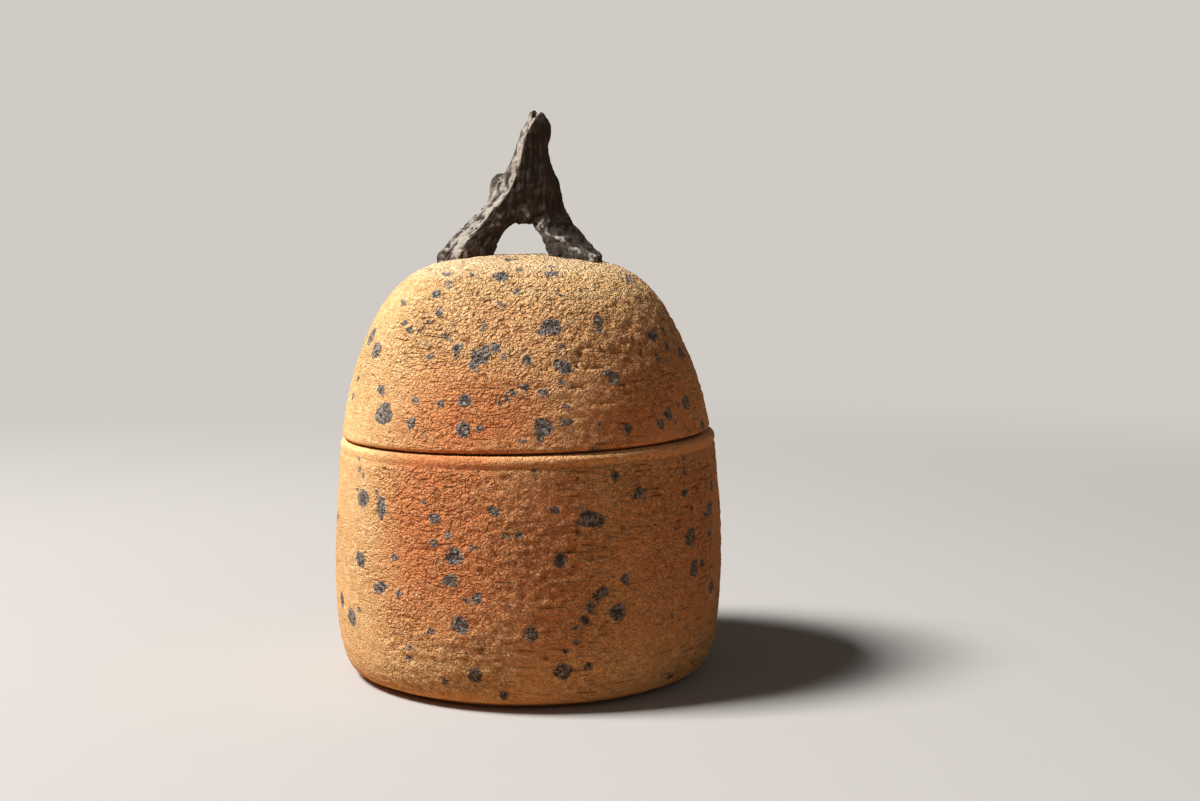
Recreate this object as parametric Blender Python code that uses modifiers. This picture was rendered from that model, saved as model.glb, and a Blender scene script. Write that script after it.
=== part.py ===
"""Lidded stoneware jar with a forked twig handle.

The jar is a thrown, slightly barrelled vessel on a bevelled flat foot. A domed lid rests on its rim,
kept in place by a flange ring that drops into the mouth, and a twig-shaped fork on the crown lifts it.
The rim is cut a little askew, so the lid leans to the left as it sits.

Units are metres, +Z is up, and the origin is the centre of the foot. The front looks along -Y.
"""

import math

import bmesh
import bpy
from mathutils import Matrix

# Jar body
BELLY_RADIUS = 0.0800
BELLY_HEIGHT = 0.0420
RIM_HEIGHT = 0.0978
RIM_DRAW_IN = 0.0035
BASE_DRAW_IN = 0.0090
BASE_EDGE_HEIGHT = 0.0027
FOOT_UNDERCUT = 0.0055
JAR_WALL = 0.0065
FLOOR_THICKNESS = 0.0080
FLOOR_FILLET = 0.0120
LIP_ROUND = 0.0018
SHOULDER_POWER = 1.7
BASE_POWER = 2.2

# Lid dome
LID_HEIGHT = 0.0727
LID_STEP_IN = 0.0008
LID_WALL = 0.0060
LID_EDGE_ROUND = 0.0012
DOME_TAPER = 0.156
DOME_HEIGHT_POWER = 2.65
DOME_ROUND_POWER = 4.0
SEAM_TILT = math.radians(1.1)

# Flange ring inside the lid
FLANGE_DROP = 0.0090
FLANGE_LAP = 0.0110
FLANGE_THICKNESS = 0.0045
FLANGE_CLEARANCE = 0.0012
FLANGE_EDGE_ROUND = 0.0010

# Twig handle: places from the lid's axis and heights above its crown
TWIG_HEIGHT = 0.0584
TIP_X = 0.0071
TIP_RADIUS = 0.0026
HEAD_HEIGHT = 0.0525
HEAD_X = 0.0073
HEAD_RADIUS = 0.0053
NECK_HEIGHT = 0.0430
NECK_X = 0.0055
NECK_RADIUS = 0.0057
FORK_HEIGHT = 0.0350
FORK_X = 0.0043
FORK_RADIUS = 0.0072
KNEE_HEIGHT = 0.0200
LEG_RADIUS = 0.0074
LEFT_KNEE_X = -0.0064
LEFT_SHIN_BOW = -0.0002
LEFT_FOOT_X = -0.0240
LEFT_FOOT_Y = -0.0060
RIGHT_KNEE_X = 0.0088
RIGHT_SHIN_BOW = -0.0020
RIGHT_FOOT_X = 0.0217
RIGHT_FOOT_Y = -0.0120
ARCH_HEIGHT = 0.0132
ARCH_TOP_RADIUS = 0.0048
KNOT_HEIGHT = 0.0295
KNOT_X = -0.0125
KNOT_RADIUS = 0.0027
SNAG_HEIGHT = 0.0455
SNAG_SET_BACK = 0.0135
SNAG_RADIUS = 0.0026
SNAG_BEND_SHARE = 0.6
FOOT_SINK = 2.2
TWIG_FLATNESS = 0.72

# Fits between touching pieces
SEAT_GAP = 0.0003

# Mesh fineness
TURN_STEPS = 64
OUTER_WALL_POINTS = 20
INNER_WALL_POINTS = 5
OUTER_DOME_POINTS = 16
INNER_DOME_POINTS = 10
ARC_POINTS = 3
FILLET_POINTS = 4
LIMB_SIDES_RESOLUTION = 4
LIMB_STEPS = 4
FLANGE_LAP_POINTS = 4
DOME_SAMPLES = 240
WALL_SAMPLES = 200
MERGE_DISTANCE = 0.00001
SHARP_ANGLE = math.radians(35.0)

# Sizes that follow from the ones above
RIM_RADIUS = BELLY_RADIUS - RIM_DRAW_IN
MOUTH_RADIUS = RIM_RADIUS - JAR_WALL
BASE_RADIUS = BELLY_RADIUS - BASE_DRAW_IN
FOOT_RADIUS = BASE_RADIUS - FOOT_UNDERCUT
LID_RADIUS = RIM_RADIUS - LID_STEP_IN
LID_SEAT_HEIGHT = RIM_HEIGHT + SEAT_GAP
FLANGE_RADIUS = MOUTH_RADIUS - FLANGE_CLEARANCE

# Finishes: base colour, roughness
OCHRE_CLAY = ((0.62, 0.32, 0.11), 0.92)
FLASHED_CLAY = ((0.60, 0.26, 0.09), 0.92)
BARE_CLAY = ((0.55, 0.30, 0.13), 0.90)
CHARCOAL_CLAY = ((0.10, 0.095, 0.09), 0.88)


def clear_scene():
    """Remove every object that the scene starts with."""
    for obj in list(bpy.data.objects):
        bpy.data.objects.remove(obj, do_unlink=True)


def new_collection(name):
    """Make a collection and link it to the scene."""
    collection = bpy.data.collections.new(name)
    bpy.context.scene.collection.children.link(collection)
    return collection


def clay_material(name, finish):
    """Make a matte clay material from a base colour and a roughness."""
    colour, roughness = finish
    material = bpy.data.materials.new(name)
    material.use_nodes = True
    shader = material.node_tree.nodes["Principled BSDF"]
    shader.inputs["Base Color"].default_value = (*colour, 1.0)
    shader.inputs["Roughness"].default_value = roughness
    shader.inputs["Metallic"].default_value = 0.0
    return material


def arc(centre, radius, start_deg, end_deg, count):
    """Return count + 1 points (r, z) of an arc around a centre."""
    points = []
    for step in range(count + 1):
        angle = math.radians(start_deg + (end_deg - start_deg) * step / count)
        points.append((centre[0] + radius * math.cos(angle), centre[1] + radius * math.sin(angle)))
    return points


def spread(points, count):
    """Return count + 1 points spaced evenly along a polyline."""
    lengths = [0.0]
    for first, second in zip(points, points[1:]):
        lengths.append(lengths[-1] + math.dist(first, second))
    spaced = []
    index = 0
    for step in range(count + 1):
        target = lengths[-1] * step / count
        while index < len(points) - 2 and lengths[index + 1] < target:
            index += 1
        share = (target - lengths[index]) / (lengths[index + 1] - lengths[index])
        first, second = points[index], points[index + 1]
        spaced.append(tuple(a + (b - a) * share for a, b in zip(first, second)))
    return spaced


def jar_radius(height):
    """Return the jar's outer radius at a height: an easy taper up, a rounded turn-in below the belly."""
    if height >= BELLY_HEIGHT:
        share = (height - BELLY_HEIGHT) / (RIM_HEIGHT - BELLY_HEIGHT)
        return BELLY_RADIUS - RIM_DRAW_IN * share**SHOULDER_POWER
    share = min(1.0, (BELLY_HEIGHT - height) / (BELLY_HEIGHT - BASE_EDGE_HEIGHT))
    return BASE_RADIUS + BASE_DRAW_IN * (1.0 - share**BASE_POWER) ** (1.0 / BASE_POWER)


def dome_curve(radius, height):
    """Return points (r, z) of a dome from its crown on the axis down to its rim at z = 0."""
    points = []
    for step in range(DOME_SAMPLES + 1):
        angle = 0.5 * math.pi * (1.0 - step / DOME_SAMPLES)
        rise = math.sin(angle) ** (2.0 / DOME_HEIGHT_POWER)
        girth = max(0.0, math.cos(angle)) ** (2.0 / DOME_ROUND_POWER)
        points.append((radius * (1.0 - DOME_TAPER * rise) * girth, height * rise))
    points[0] = (0.0, height)
    return points


def radius_on(curve, height):
    """Return the radius of a falling curve (r, z) at a height."""
    for (r_high, z_high), (r_low, z_low) in zip(curve, curve[1:]):
        if z_high >= height >= z_low:
            return r_low + (r_high - r_low) * (height - z_low) / (z_high - z_low)
    return curve[-1][0]


def height_on(curve, radius):
    """Return the height of a falling curve (r, z) at a radius."""
    for (r_in, z_in), (r_out, z_out) in zip(curve, curve[1:]):
        if r_in <= radius <= r_out:
            return z_in + (z_out - z_in) * (radius - r_in) / (r_out - r_in)
    return curve[-1][1]


def turned_piece(name, profile, material, collection, closed=False):
    """Turn a profile of points (r, z) about Z with a Screw modifier."""
    mesh = bpy.data.meshes.new(name)
    edges = [(index, index + 1) for index in range(len(profile) - 1)]
    if closed:
        edges.append((len(profile) - 1, 0))
    mesh.from_pydata([(r, 0.0, z) for r, z in profile], edges, [])
    mesh.materials.append(material)
    piece = bpy.data.objects.new(name, mesh)
    collection.objects.link(piece)
    screw = piece.modifiers.new("turn", "SCREW")
    screw.axis = "Z"
    screw.angle = 2.0 * math.pi
    screw.steps = TURN_STEPS
    screw.render_steps = TURN_STEPS
    screw.use_merge_vertices = True
    screw.merge_threshold = MERGE_DISTANCE
    screw.use_smooth_shade = True
    return piece


def jar_profile():
    """Return the jar's section: floor, inner wall, rounded lip, outer wall and bevelled foot."""
    lip_height = RIM_HEIGHT - LIP_ROUND
    lip_radius = jar_radius(lip_height)
    fillet_height = FLOOR_THICKNESS + FLOOR_FILLET
    fillet_centre = (jar_radius(fillet_height) - JAR_WALL - FLOOR_FILLET, fillet_height)
    drop = (BASE_EDGE_HEIGHT - lip_height) / WALL_SAMPLES
    heights = [lip_height + drop * step for step in range(WALL_SAMPLES + 1)]
    outer_wall = spread([(jar_radius(height), height) for height in heights], OUTER_WALL_POINTS)

    profile = [(0.0, FLOOR_THICKNESS)]
    profile += arc(fillet_centre, FLOOR_FILLET, -90.0, 0.0, FILLET_POINTS)
    for step in range(1, INNER_WALL_POINTS):
        height = fillet_height + (lip_height - fillet_height) * step / INNER_WALL_POINTS
        profile.append((jar_radius(height) - JAR_WALL, height))
    profile += arc((lip_radius - JAR_WALL + LIP_ROUND, lip_height), LIP_ROUND, 180.0, 90.0, ARC_POINTS)
    profile += arc((lip_radius - LIP_ROUND, lip_height), LIP_ROUND, 90.0, 0.0, ARC_POINTS)
    profile += outer_wall[1:]
    profile += [(FOOT_RADIUS, 0.0), (0.0, 0.0)]
    return profile


def dome_profile():
    """Return the lid's section in its own frame: crown, outer dome, rounded rim and inner dome."""
    outer_curve = dome_curve(LID_RADIUS, LID_HEIGHT)
    inner_curve = dome_curve(LID_RADIUS - LID_WALL, LID_HEIGHT - LID_WALL)
    outer = [point for point in spread(outer_curve, OUTER_DOME_POINTS) if point[1] > LID_EDGE_ROUND]
    inner = [point for point in spread(inner_curve, INNER_DOME_POINTS) if point[1] > LID_EDGE_ROUND]
    outer_edge = radius_on(outer_curve, LID_EDGE_ROUND)
    inner_edge = radius_on(inner_curve, LID_EDGE_ROUND)
    profile = outer
    profile += arc((outer_edge - LID_EDGE_ROUND, LID_EDGE_ROUND), LID_EDGE_ROUND, 0.0, -90.0, ARC_POINTS)
    profile += arc((inner_edge + LID_EDGE_ROUND, LID_EDGE_ROUND), LID_EDGE_ROUND, -90.0, -180.0, ARC_POINTS)
    profile += list(reversed(inner))
    return profile


def flange_profile():
    """Return the flange's section: it hugs the inside of the lid and drops into the jar's mouth."""
    inner_curve = dome_curve(LID_RADIUS - LID_WALL, LID_HEIGHT - LID_WALL)
    hug = []
    for step in range(FLANGE_LAP_POINTS + 1):
        height = FLANGE_LAP * (1.0 - step / FLANGE_LAP_POINTS)
        hug.append((min(FLANGE_RADIUS, radius_on(inner_curve, height) - SEAT_GAP), height))
    inner_radius = hug[0][0] - FLANGE_THICKNESS
    drop = FLANGE_EDGE_ROUND - FLANGE_DROP
    profile = hug
    profile += arc((FLANGE_RADIUS - FLANGE_EDGE_ROUND, drop), FLANGE_EDGE_ROUND, 0.0, -90.0, ARC_POINTS)
    profile += arc((inner_radius + FLANGE_EDGE_ROUND, drop), FLANGE_EDGE_ROUND, -90.0, -180.0, ARC_POINTS)
    profile += [(inner_radius, FLANGE_LAP)]
    return profile


def crown_cutter(material, collection):
    """Make the solid that trims the twig's feet to the crown, a seat gap above the dome."""
    outer = spread(dome_curve(LID_RADIUS, LID_HEIGHT), OUTER_DOME_POINTS)
    profile = [(r, z + SEAT_GAP) for r, z in outer]
    profile += [(0.0, SEAT_GAP)]
    return turned_piece("crown_cutter", profile, material, collection)


def twig_limb(name, route, material, collection):
    """Make one limb of the twig as a mesh: a tapering tube along points (x, y, z, radius)."""
    curve = bpy.data.curves.new(name, "CURVE")
    curve.dimensions = "3D"
    curve.bevel_depth = 1.0
    curve.bevel_resolution = LIMB_SIDES_RESOLUTION
    curve.use_fill_caps = True
    curve.resolution_u = LIMB_STEPS
    curve.render_resolution_u = LIMB_STEPS
    spline = curve.splines.new("BEZIER")
    spline.bezier_points.add(len(route) - 1)
    for point, (x, y, z, radius) in zip(spline.bezier_points, route):
        point.co = (x, y / TWIG_FLATNESS, z)
        point.radius = radius
        point.handle_left_type = "AUTO"
        point.handle_right_type = "AUTO"
    tube = bpy.data.objects.new(name + "_route", curve)
    collection.objects.link(tube)
    bpy.context.view_layer.update()
    evaluated = tube.evaluated_get(bpy.context.evaluated_depsgraph_get())
    mesh = bpy.data.meshes.new_from_object(evaluated)
    bpy.data.objects.remove(tube, do_unlink=True)

    form = bmesh.new()
    form.from_mesh(mesh)
    bmesh.ops.remove_doubles(form, verts=form.verts, dist=MERGE_DISTANCE)
    form.to_mesh(mesh)
    form.free()
    mesh.transform(Matrix.Scale(TWIG_FLATNESS, 4, (0.0, 1.0, 0.0)))
    mesh.name = name
    mesh.materials.clear()
    mesh.materials.append(material)
    mesh.shade_smooth()
    mesh.set_sharp_from_angle(angle=SHARP_ANGLE)
    limb = bpy.data.objects.new(name, mesh)
    collection.objects.link(limb)
    return limb


def on_stem(x, y, rise, radius):
    """Return a point of the twig from its place beside the lid's axis and its height above the crown."""
    return (x, y, LID_HEIGHT + rise, radius)


def leg_route(knee_x, foot_x, foot_y, shin_bow):
    """Return a leg from the fork over its knee and bowed shin to a foot that runs on into the crown."""
    crown_drop = height_on(dome_curve(LID_RADIUS, LID_HEIGHT), math.hypot(foot_x, foot_y)) - LID_HEIGHT
    fork = on_stem(FORK_X, 0.0, FORK_HEIGHT, FORK_RADIUS)
    knee = on_stem(knee_x, 0.0, KNEE_HEIGHT, LEG_RADIUS)
    foot = on_stem(foot_x, foot_y, crown_drop, LEG_RADIUS)
    shin = tuple(0.5 * (upper + lower) for upper, lower in zip(knee, foot))
    shin = (shin[0] + shin_bow, shin[1], shin[2] + abs(shin_bow), LEG_RADIUS)
    stretch = FOOT_SINK * LEG_RADIUS / math.dist(shin[:3], foot[:3])
    sunk = tuple(lower + (lower - upper) * stretch for upper, lower in zip(shin[:3], foot[:3]))
    return [fork, knee, shin, foot, (*sunk, LEG_RADIUS)]


def twig_routes():
    """Return the routes of the limbs that are joined to the stem and right leg, by name."""
    web_middle = 0.5 * (LEFT_KNEE_X + RIGHT_KNEE_X)
    heart = on_stem(FORK_X, 0.0, KNOT_HEIGHT - KNOT_RADIUS, NECK_RADIUS)
    return {
        "left_leg": leg_route(LEFT_KNEE_X, LEFT_FOOT_X, LEFT_FOOT_Y, LEFT_SHIN_BOW),
        "web": [
            on_stem(FORK_X, 0.0, FORK_HEIGHT, NECK_RADIUS),
            on_stem(web_middle, 0.0, KNEE_HEIGHT, LEG_RADIUS),
            on_stem(web_middle, 0.0, ARCH_HEIGHT, ARCH_TOP_RADIUS),
        ],
        "knot": [heart, on_stem(KNOT_X, 0.0, KNOT_HEIGHT, KNOT_RADIUS)],
        "snag": [
            heart,
            on_stem(FORK_X, SNAG_BEND_SHARE * SNAG_SET_BACK, 0.5 * (FORK_HEIGHT + SNAG_HEIGHT), SNAG_RADIUS),
            on_stem(FORK_X, SNAG_SET_BACK, SNAG_HEIGHT, SNAG_RADIUS),
        ],
    }


def build_twig(material, parts, cutters):
    """Make the fork: a stem that runs into the right leg, with the other limbs joined on and feet trimmed."""
    stem = [
        on_stem(TIP_X, 0.0, TWIG_HEIGHT, TIP_RADIUS),
        on_stem(HEAD_X, 0.0, HEAD_HEIGHT, HEAD_RADIUS),
        on_stem(NECK_X, 0.0, NECK_HEIGHT, NECK_RADIUS),
    ]
    right_leg = leg_route(RIGHT_KNEE_X, RIGHT_FOOT_X, RIGHT_FOOT_Y, RIGHT_SHIN_BOW)
    handle = twig_limb("twig_handle", stem + right_leg, material, parts)
    helpers = [twig_limb(name, route, material, cutters) for name, route in twig_routes().items()]
    for limb in helpers:
        union = handle.modifiers.new("join_" + limb.name, "BOOLEAN")
        union.operation = "UNION"
        union.solver = "EXACT"
        union.object = limb
    cutter = crown_cutter(material, cutters)
    trim = handle.modifiers.new("trim_feet", "BOOLEAN")
    trim.operation = "DIFFERENCE"
    trim.solver = "EXACT"
    trim.object = cutter
    return handle, helpers + [cutter]


def skew_rim(jar, collection):
    """Slope the jar's rim with a lattice: the foot stays level and the rim tilts by the seam's angle."""
    cage = bpy.data.lattices.new("rim_skew")
    cage.points_u = 2
    cage.points_v = 2
    cage.points_w = 2
    cage.interpolation_type_u = "KEY_LINEAR"
    cage.interpolation_type_v = "KEY_LINEAR"
    cage.interpolation_type_w = "KEY_LINEAR"
    lattice = bpy.data.objects.new("rim_skew", cage)
    collection.objects.link(lattice)
    lattice.location = (0.0, 0.0, RIM_HEIGHT / 2.0)
    lattice.scale = (2.0 * BELLY_RADIUS, 2.0 * BELLY_RADIUS, RIM_HEIGHT)
    lattice.hide_render = True
    lift = BELLY_RADIUS * math.tan(SEAM_TILT) / RIM_HEIGHT
    for point in cage.points:
        if point.co.z > 0.0:
            side = 1.0 if point.co.x > 0.0 else -1.0
            point.co_deform = (point.co.x, point.co.y, point.co.z + side * lift)
    bend = jar.modifiers.new("skew_rim", "LATTICE")
    bend.object = lattice


def lid_frame(collection):
    """Make the empty that carries the lid: on the axis at the seat, tilted with the rim."""
    empty = bpy.data.objects.new("lid", None)
    empty.location = (0.0, 0.0, LID_SEAT_HEIGHT)
    empty.rotation_euler = (0.0, -SEAM_TILT, 0.0)
    collection.objects.link(empty)
    return empty


def main():
    """Build the jar and its lid."""
    clear_scene()
    parts = new_collection("lidded_stoneware_jar")
    cutters = new_collection("cutters")
    ochre = clay_material("ochre_clay", OCHRE_CLAY)
    flashed = clay_material("flashed_clay", FLASHED_CLAY)
    bare = clay_material("bare_clay", BARE_CLAY)
    charcoal = clay_material("charcoal_clay", CHARCOAL_CLAY)

    jar = turned_piece("jar_body", jar_profile(), ochre, parts)
    skew_rim(jar, cutters)
    dome = turned_piece("lid_dome", dome_profile(), flashed, parts)
    flange = turned_piece("lid_flange", flange_profile(), bare, parts, closed=True)
    handle, helpers = build_twig(charcoal, parts, cutters)

    lid = lid_frame(parts)
    for piece in [dome, flange, handle] + helpers:
        piece.parent = lid
    for helper in helpers:
        helper.hide_render = True
        helper.display_type = "WIRE"


main()
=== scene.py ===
"""Looks of a lidded stoneware jar with a forked twig on its crown.

The jar and the domed lid are thrown from coarse grogged clay, flushed orange by the fire and splashed with
dark slip. The lid sits on the rim by a locating ring, and the twig is a charred, pitted fork of clay.
Everything is in metres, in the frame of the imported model: +Z is up and the front looks along -Y.
"""

import logging
import math
import random
from contextlib import contextmanager
from dataclasses import dataclass
from enum import Enum
from functools import cached_property
from typing import Any, Callable, Iterator, NamedTuple, Sequence

import bpy
import numpy as np
from mathutils import Matrix, Vector


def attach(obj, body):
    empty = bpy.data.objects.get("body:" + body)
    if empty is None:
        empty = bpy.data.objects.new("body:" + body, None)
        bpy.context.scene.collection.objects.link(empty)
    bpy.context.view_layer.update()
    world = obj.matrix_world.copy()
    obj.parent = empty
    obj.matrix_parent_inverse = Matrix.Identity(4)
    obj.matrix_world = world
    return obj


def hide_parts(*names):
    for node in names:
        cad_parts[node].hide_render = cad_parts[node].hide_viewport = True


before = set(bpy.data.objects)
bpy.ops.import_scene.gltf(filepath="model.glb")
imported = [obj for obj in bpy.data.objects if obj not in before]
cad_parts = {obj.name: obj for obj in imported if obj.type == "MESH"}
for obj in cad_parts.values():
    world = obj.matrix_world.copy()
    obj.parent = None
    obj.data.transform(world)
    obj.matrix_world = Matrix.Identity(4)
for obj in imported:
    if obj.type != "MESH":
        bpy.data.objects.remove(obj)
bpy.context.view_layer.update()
MM = 0.001
MERGE = 0.001 * MM
FULL_TURN = 2.0 * math.pi
NO_SPLASH = -3.0
BARE_FLUSH = 0.3
FLUSH_FADE = 0.7
BARE_COARSE = 0.45
AXIS_PRIMES = (73856093, 19349663, 83492791)
SALT_PRIME = 40503
STIRS = ((13, 1274126177), (15, 668265263))
SHARES = 65536

LOG = logging.getLogger("stoneware_jar")

Profile = list[tuple[float, float]]
Colour = tuple[float, float, float]
Scale = tuple[float, float, float]


class Skin(Enum):
    """Attributes that a clay piece carries on its points for its finish to read."""

    SPLASH = "splash"
    FLUSH = "flush"
    RELIEF = "relief"
    COARSE = "coarse"
    ASH = "ash_and_painted_light"


class CellMeasure(Enum):
    """What a scattered cell's distance is measured from."""

    MIDDLE = "F1"
    JOINT = "DISTANCE_TO_EDGE"


class Body(Enum):
    """Bodies of the part that the pieces ride on."""

    JAR = "jar"
    LID = "lid"


def glaze_colour(red: int, green: int, blue: int) -> Colour:
    """Turn a screen colour into the linear colour that a shader takes.

    Args:
        red: Red, 0 to 255.
        green: Green, 0 to 255.
        blue: Blue, 0 to 255.

    Returns:
        The linear colour.
    """
    shares = (red / 255.0, green / 255.0, blue / 255.0)
    linear = [s / 12.92 if s <= 0.04045 else ((s + 0.055) / 1.055) ** 2.4 for s in shares]
    return (linear[0], linear[1], linear[2])


def ease(low: float, high: float, value: Any) -> Any:
    """Rise smoothly from 0 at low to 1 at high, for a number or an array."""
    share = np.clip((value - low) / (high - low), 0.0, 1.0)
    return share * share * (3.0 - 2.0 * share)


def bump_at(middle: float, half: float, value: Any) -> Any:
    """Return a bell that is 1 at middle and fades within a few times half."""
    return np.exp(-(((value - middle) / half) ** 2))


def arc(centre: tuple[float, float], radius: float, start: float, end: float, count: int) -> Profile:
    """Lay count + 1 profile points on an arc about a centre, from start to end in degrees."""
    angles = [math.radians(start + (end - start) * step / count) for step in range(count + 1)]
    return [(centre[0] + radius * math.cos(a), centre[1] + radius * math.sin(a)) for a in angles]


def spaced(points: Profile | np.ndarray, count: int) -> Profile:
    """Space count + 1 points evenly along a profile.

    Args:
        points: Profile points (r, z).
        count: Number of steps.

    Returns:
        The evenly spaced points.
    """
    line = np.array(points)
    run = np.concatenate([[0.0], np.cumsum(np.hypot(*np.diff(line, axis=0).T))])
    marks = np.linspace(0.0, run[-1], count + 1)
    return list(zip(np.interp(marks, run, line[:, 0]), np.interp(marks, run, line[:, 1])))


def deselect() -> None:
    """Deselect every object, so that operators touch only what comes next."""
    bpy.ops.object.select_all(action="DESELECT")


def new_piece(name: str) -> bpy.types.Object:
    """Name the object that an operator has just made, and its mesh."""
    piece = bpy.context.object
    piece.name = name
    piece.data.name = name
    return piece


@contextmanager
def editing() -> Iterator[None]:
    """Work in edit mode with the whole mesh selected."""
    bpy.ops.object.mode_set(mode="EDIT")
    bpy.ops.mesh.select_all(action="SELECT")
    yield
    bpy.ops.object.mode_set(mode="OBJECT")


def apply_modifier(piece: bpy.types.Object, kind: str, **settings: Any) -> None:
    """Add a modifier to the active piece, set it up and apply it.

    Args:
        piece: The piece.
        kind: The modifier's kind.
        settings: The modifier's own settings.
    """
    modifier = piece.modifiers.new(kind.lower(), kind)
    for name, setting in settings.items():
        setattr(modifier, name, setting)
    bpy.ops.object.modifier_apply(modifier=modifier.name)


def rows_of(piece: bpy.types.Object, what: str) -> np.ndarray:
    """Read the places ("co") or outward directions ("normal") of a mesh's points as rows of x, y, z."""
    flat = np.empty(len(piece.data.vertices) * 3)
    piece.data.vertices.foreach_get(what, flat)
    return flat.reshape(-1, 3)


def move_points(piece: bpy.types.Object, places: np.ndarray) -> None:
    """Put the points of a mesh at new places."""
    piece.data.vertices.foreach_set("co", places.ravel())
    piece.data.update()


def store(piece: bpy.types.Object, skin: Skin, values: np.ndarray) -> None:
    """Keep one number for each point of a mesh, for its finish to read."""
    layer = piece.data.attributes.new(skin.value, "FLOAT", "POINT")
    layer.data.foreach_set("value", values.astype(np.float32))


def store_clay(
    piece: bpy.types.Object, outside: np.ndarray, splash: Any, flush: Any, relief: Any, coarse: Any
) -> None:
    """Keep what the clay's finish reads at each point, with bare clay away from the outer skin.

    Args:
        piece: The object.
        outside: Which points are on the outer skin.
        splash: Depth inside a splash.
        flush: Share of the orange flush, from the fire and in places painted warm shade.
        relief: Fine relief, in heights of a grain.
        coarse: How torn the clay is.
    """
    coats = ((splash, NO_SPLASH), (flush, BARE_FLUSH), (relief, 0.0), (coarse, BARE_COARSE))
    for skin, (values, bare) in zip((Skin.SPLASH, Skin.FLUSH, Skin.RELIEF, Skin.COARSE), coats):
        store(piece, skin, np.where(outside, values, bare))


def dress(piece: bpy.types.Object, material: bpy.types.Material) -> None:
    """Give a piece its one finish."""
    piece.data.materials.clear()
    piece.data.materials.append(material)


def scrambled(corners: np.ndarray, salt: int) -> np.ndarray:
    """Turn whole-number corners into even random shares.

    Args:
        corners: Rows of three whole numbers.
        salt: Which draw it is.

    Returns:
        A share of 0 to 1 for each row, the same at every run.
    """
    across, along, up = (corners[..., axis] * prime for axis, prime in enumerate(AXIS_PRIMES))
    mixed = across ^ along ^ up ^ salt * SALT_PRIME
    for shift, prime in STIRS:
        mixed = (mixed ^ (mixed >> shift)) * prime & 0x7FFFFFFF
    return (mixed ^ (mixed >> 11)) % SHARES / SHARES


def neighbours(low: int, high: int) -> list[np.ndarray]:
    """List the steps to the corners round a grid cell, from low to high along each axis."""
    span = range(low, high + 1)
    return [np.array((i, j, k)) for i in span for j in span for k in span]


def cloud(places: np.ndarray, salt: int) -> np.ndarray:
    """Make smooth random swells about one unit across.

    Args:
        places: Rows of x, y, z.
        salt: Which draw it is.

    Returns:
        A height of about -1 to 1 at each row.
    """
    base = np.floor(places).astype(np.int64)
    offset = places - base
    fade = offset**3 * (offset * (offset * 6.0 - 15.0) + 10.0)
    total = np.zeros(len(places))
    for step in neighbours(0, 1):
        corner = base + step
        slope = np.column_stack([scrambled(corner, salt * 17 + axis) for axis in range(3)]) * 2.0 - 1.0
        share = np.prod(np.where(step == 1, fade, 1.0 - fade), axis=1)
        total += share * np.sum(slope * (offset - step), axis=1)
    return 1.6 * total


def cells(places: np.ndarray, salt: int) -> tuple[np.ndarray, np.ndarray, np.ndarray]:
    """Scatter one seed in each unit cell and measure how far the nearest ones are.

    Args:
        places: Rows of x, y, z.
        salt: Which draw it is.

    Returns:
        Distances to the nearest and second nearest seed, and the nearest seed's own random share.
    """
    base = np.floor(places).astype(np.int64)
    near = np.full(len(places), 9.0)
    second = near.copy()
    lot = np.zeros(len(places))
    for step in neighbours(-1, 1):
        corner = base + step
        seed = corner + np.column_stack([scrambled(corner, salt * 31 + axis) for axis in range(3)])
        away = np.sqrt(np.sum((seed - places) ** 2, axis=1))
        closer = away < near
        second = np.where(closer, near, np.minimum(second, away))
        lot = np.where(closer, scrambled(corner, salt * 31 + 7), lot)
        near = np.where(closer, away, near)
    return near, second, lot


def throw(name: str, profile: Profile, columns: int) -> bpy.types.Object:
    """Throw a turned piece: draw its section point by point and turn it about the upright axis.

    Args:
        name: Name of the piece.
        profile: Section points (r, z).
        columns: Steps of the full turn.

    Returns:
        The closed piece, with its faces outwards.
    """
    deselect()
    bpy.ops.mesh.primitive_plane_add(size=MM, location=(0.0, 0.0, 0.0))
    piece = new_piece(name)
    with editing():
        bpy.ops.mesh.merge(type="CENTER")
        bpy.ops.transform.translate(value=(profile[0][0], 0.0, profile[0][1]))
        for (r_from, z_from), (r_to, z_to) in zip(profile, profile[1:]):
            step = (r_to - r_from, 0.0, z_to - z_from)
            bpy.ops.mesh.extrude_vertices_move(TRANSFORM_OT_translate={"value": step})
    turn = {"steps": columns, "render_steps": columns, "use_merge_vertices": True, "merge_threshold": MERGE}
    apply_modifier(piece, "SCREW", **turn)
    with editing():
        bpy.ops.mesh.remove_doubles(threshold=MERGE)
        bpy.ops.mesh.normals_make_consistent(inside=False)
    bpy.ops.object.shade_smooth()
    return piece


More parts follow.
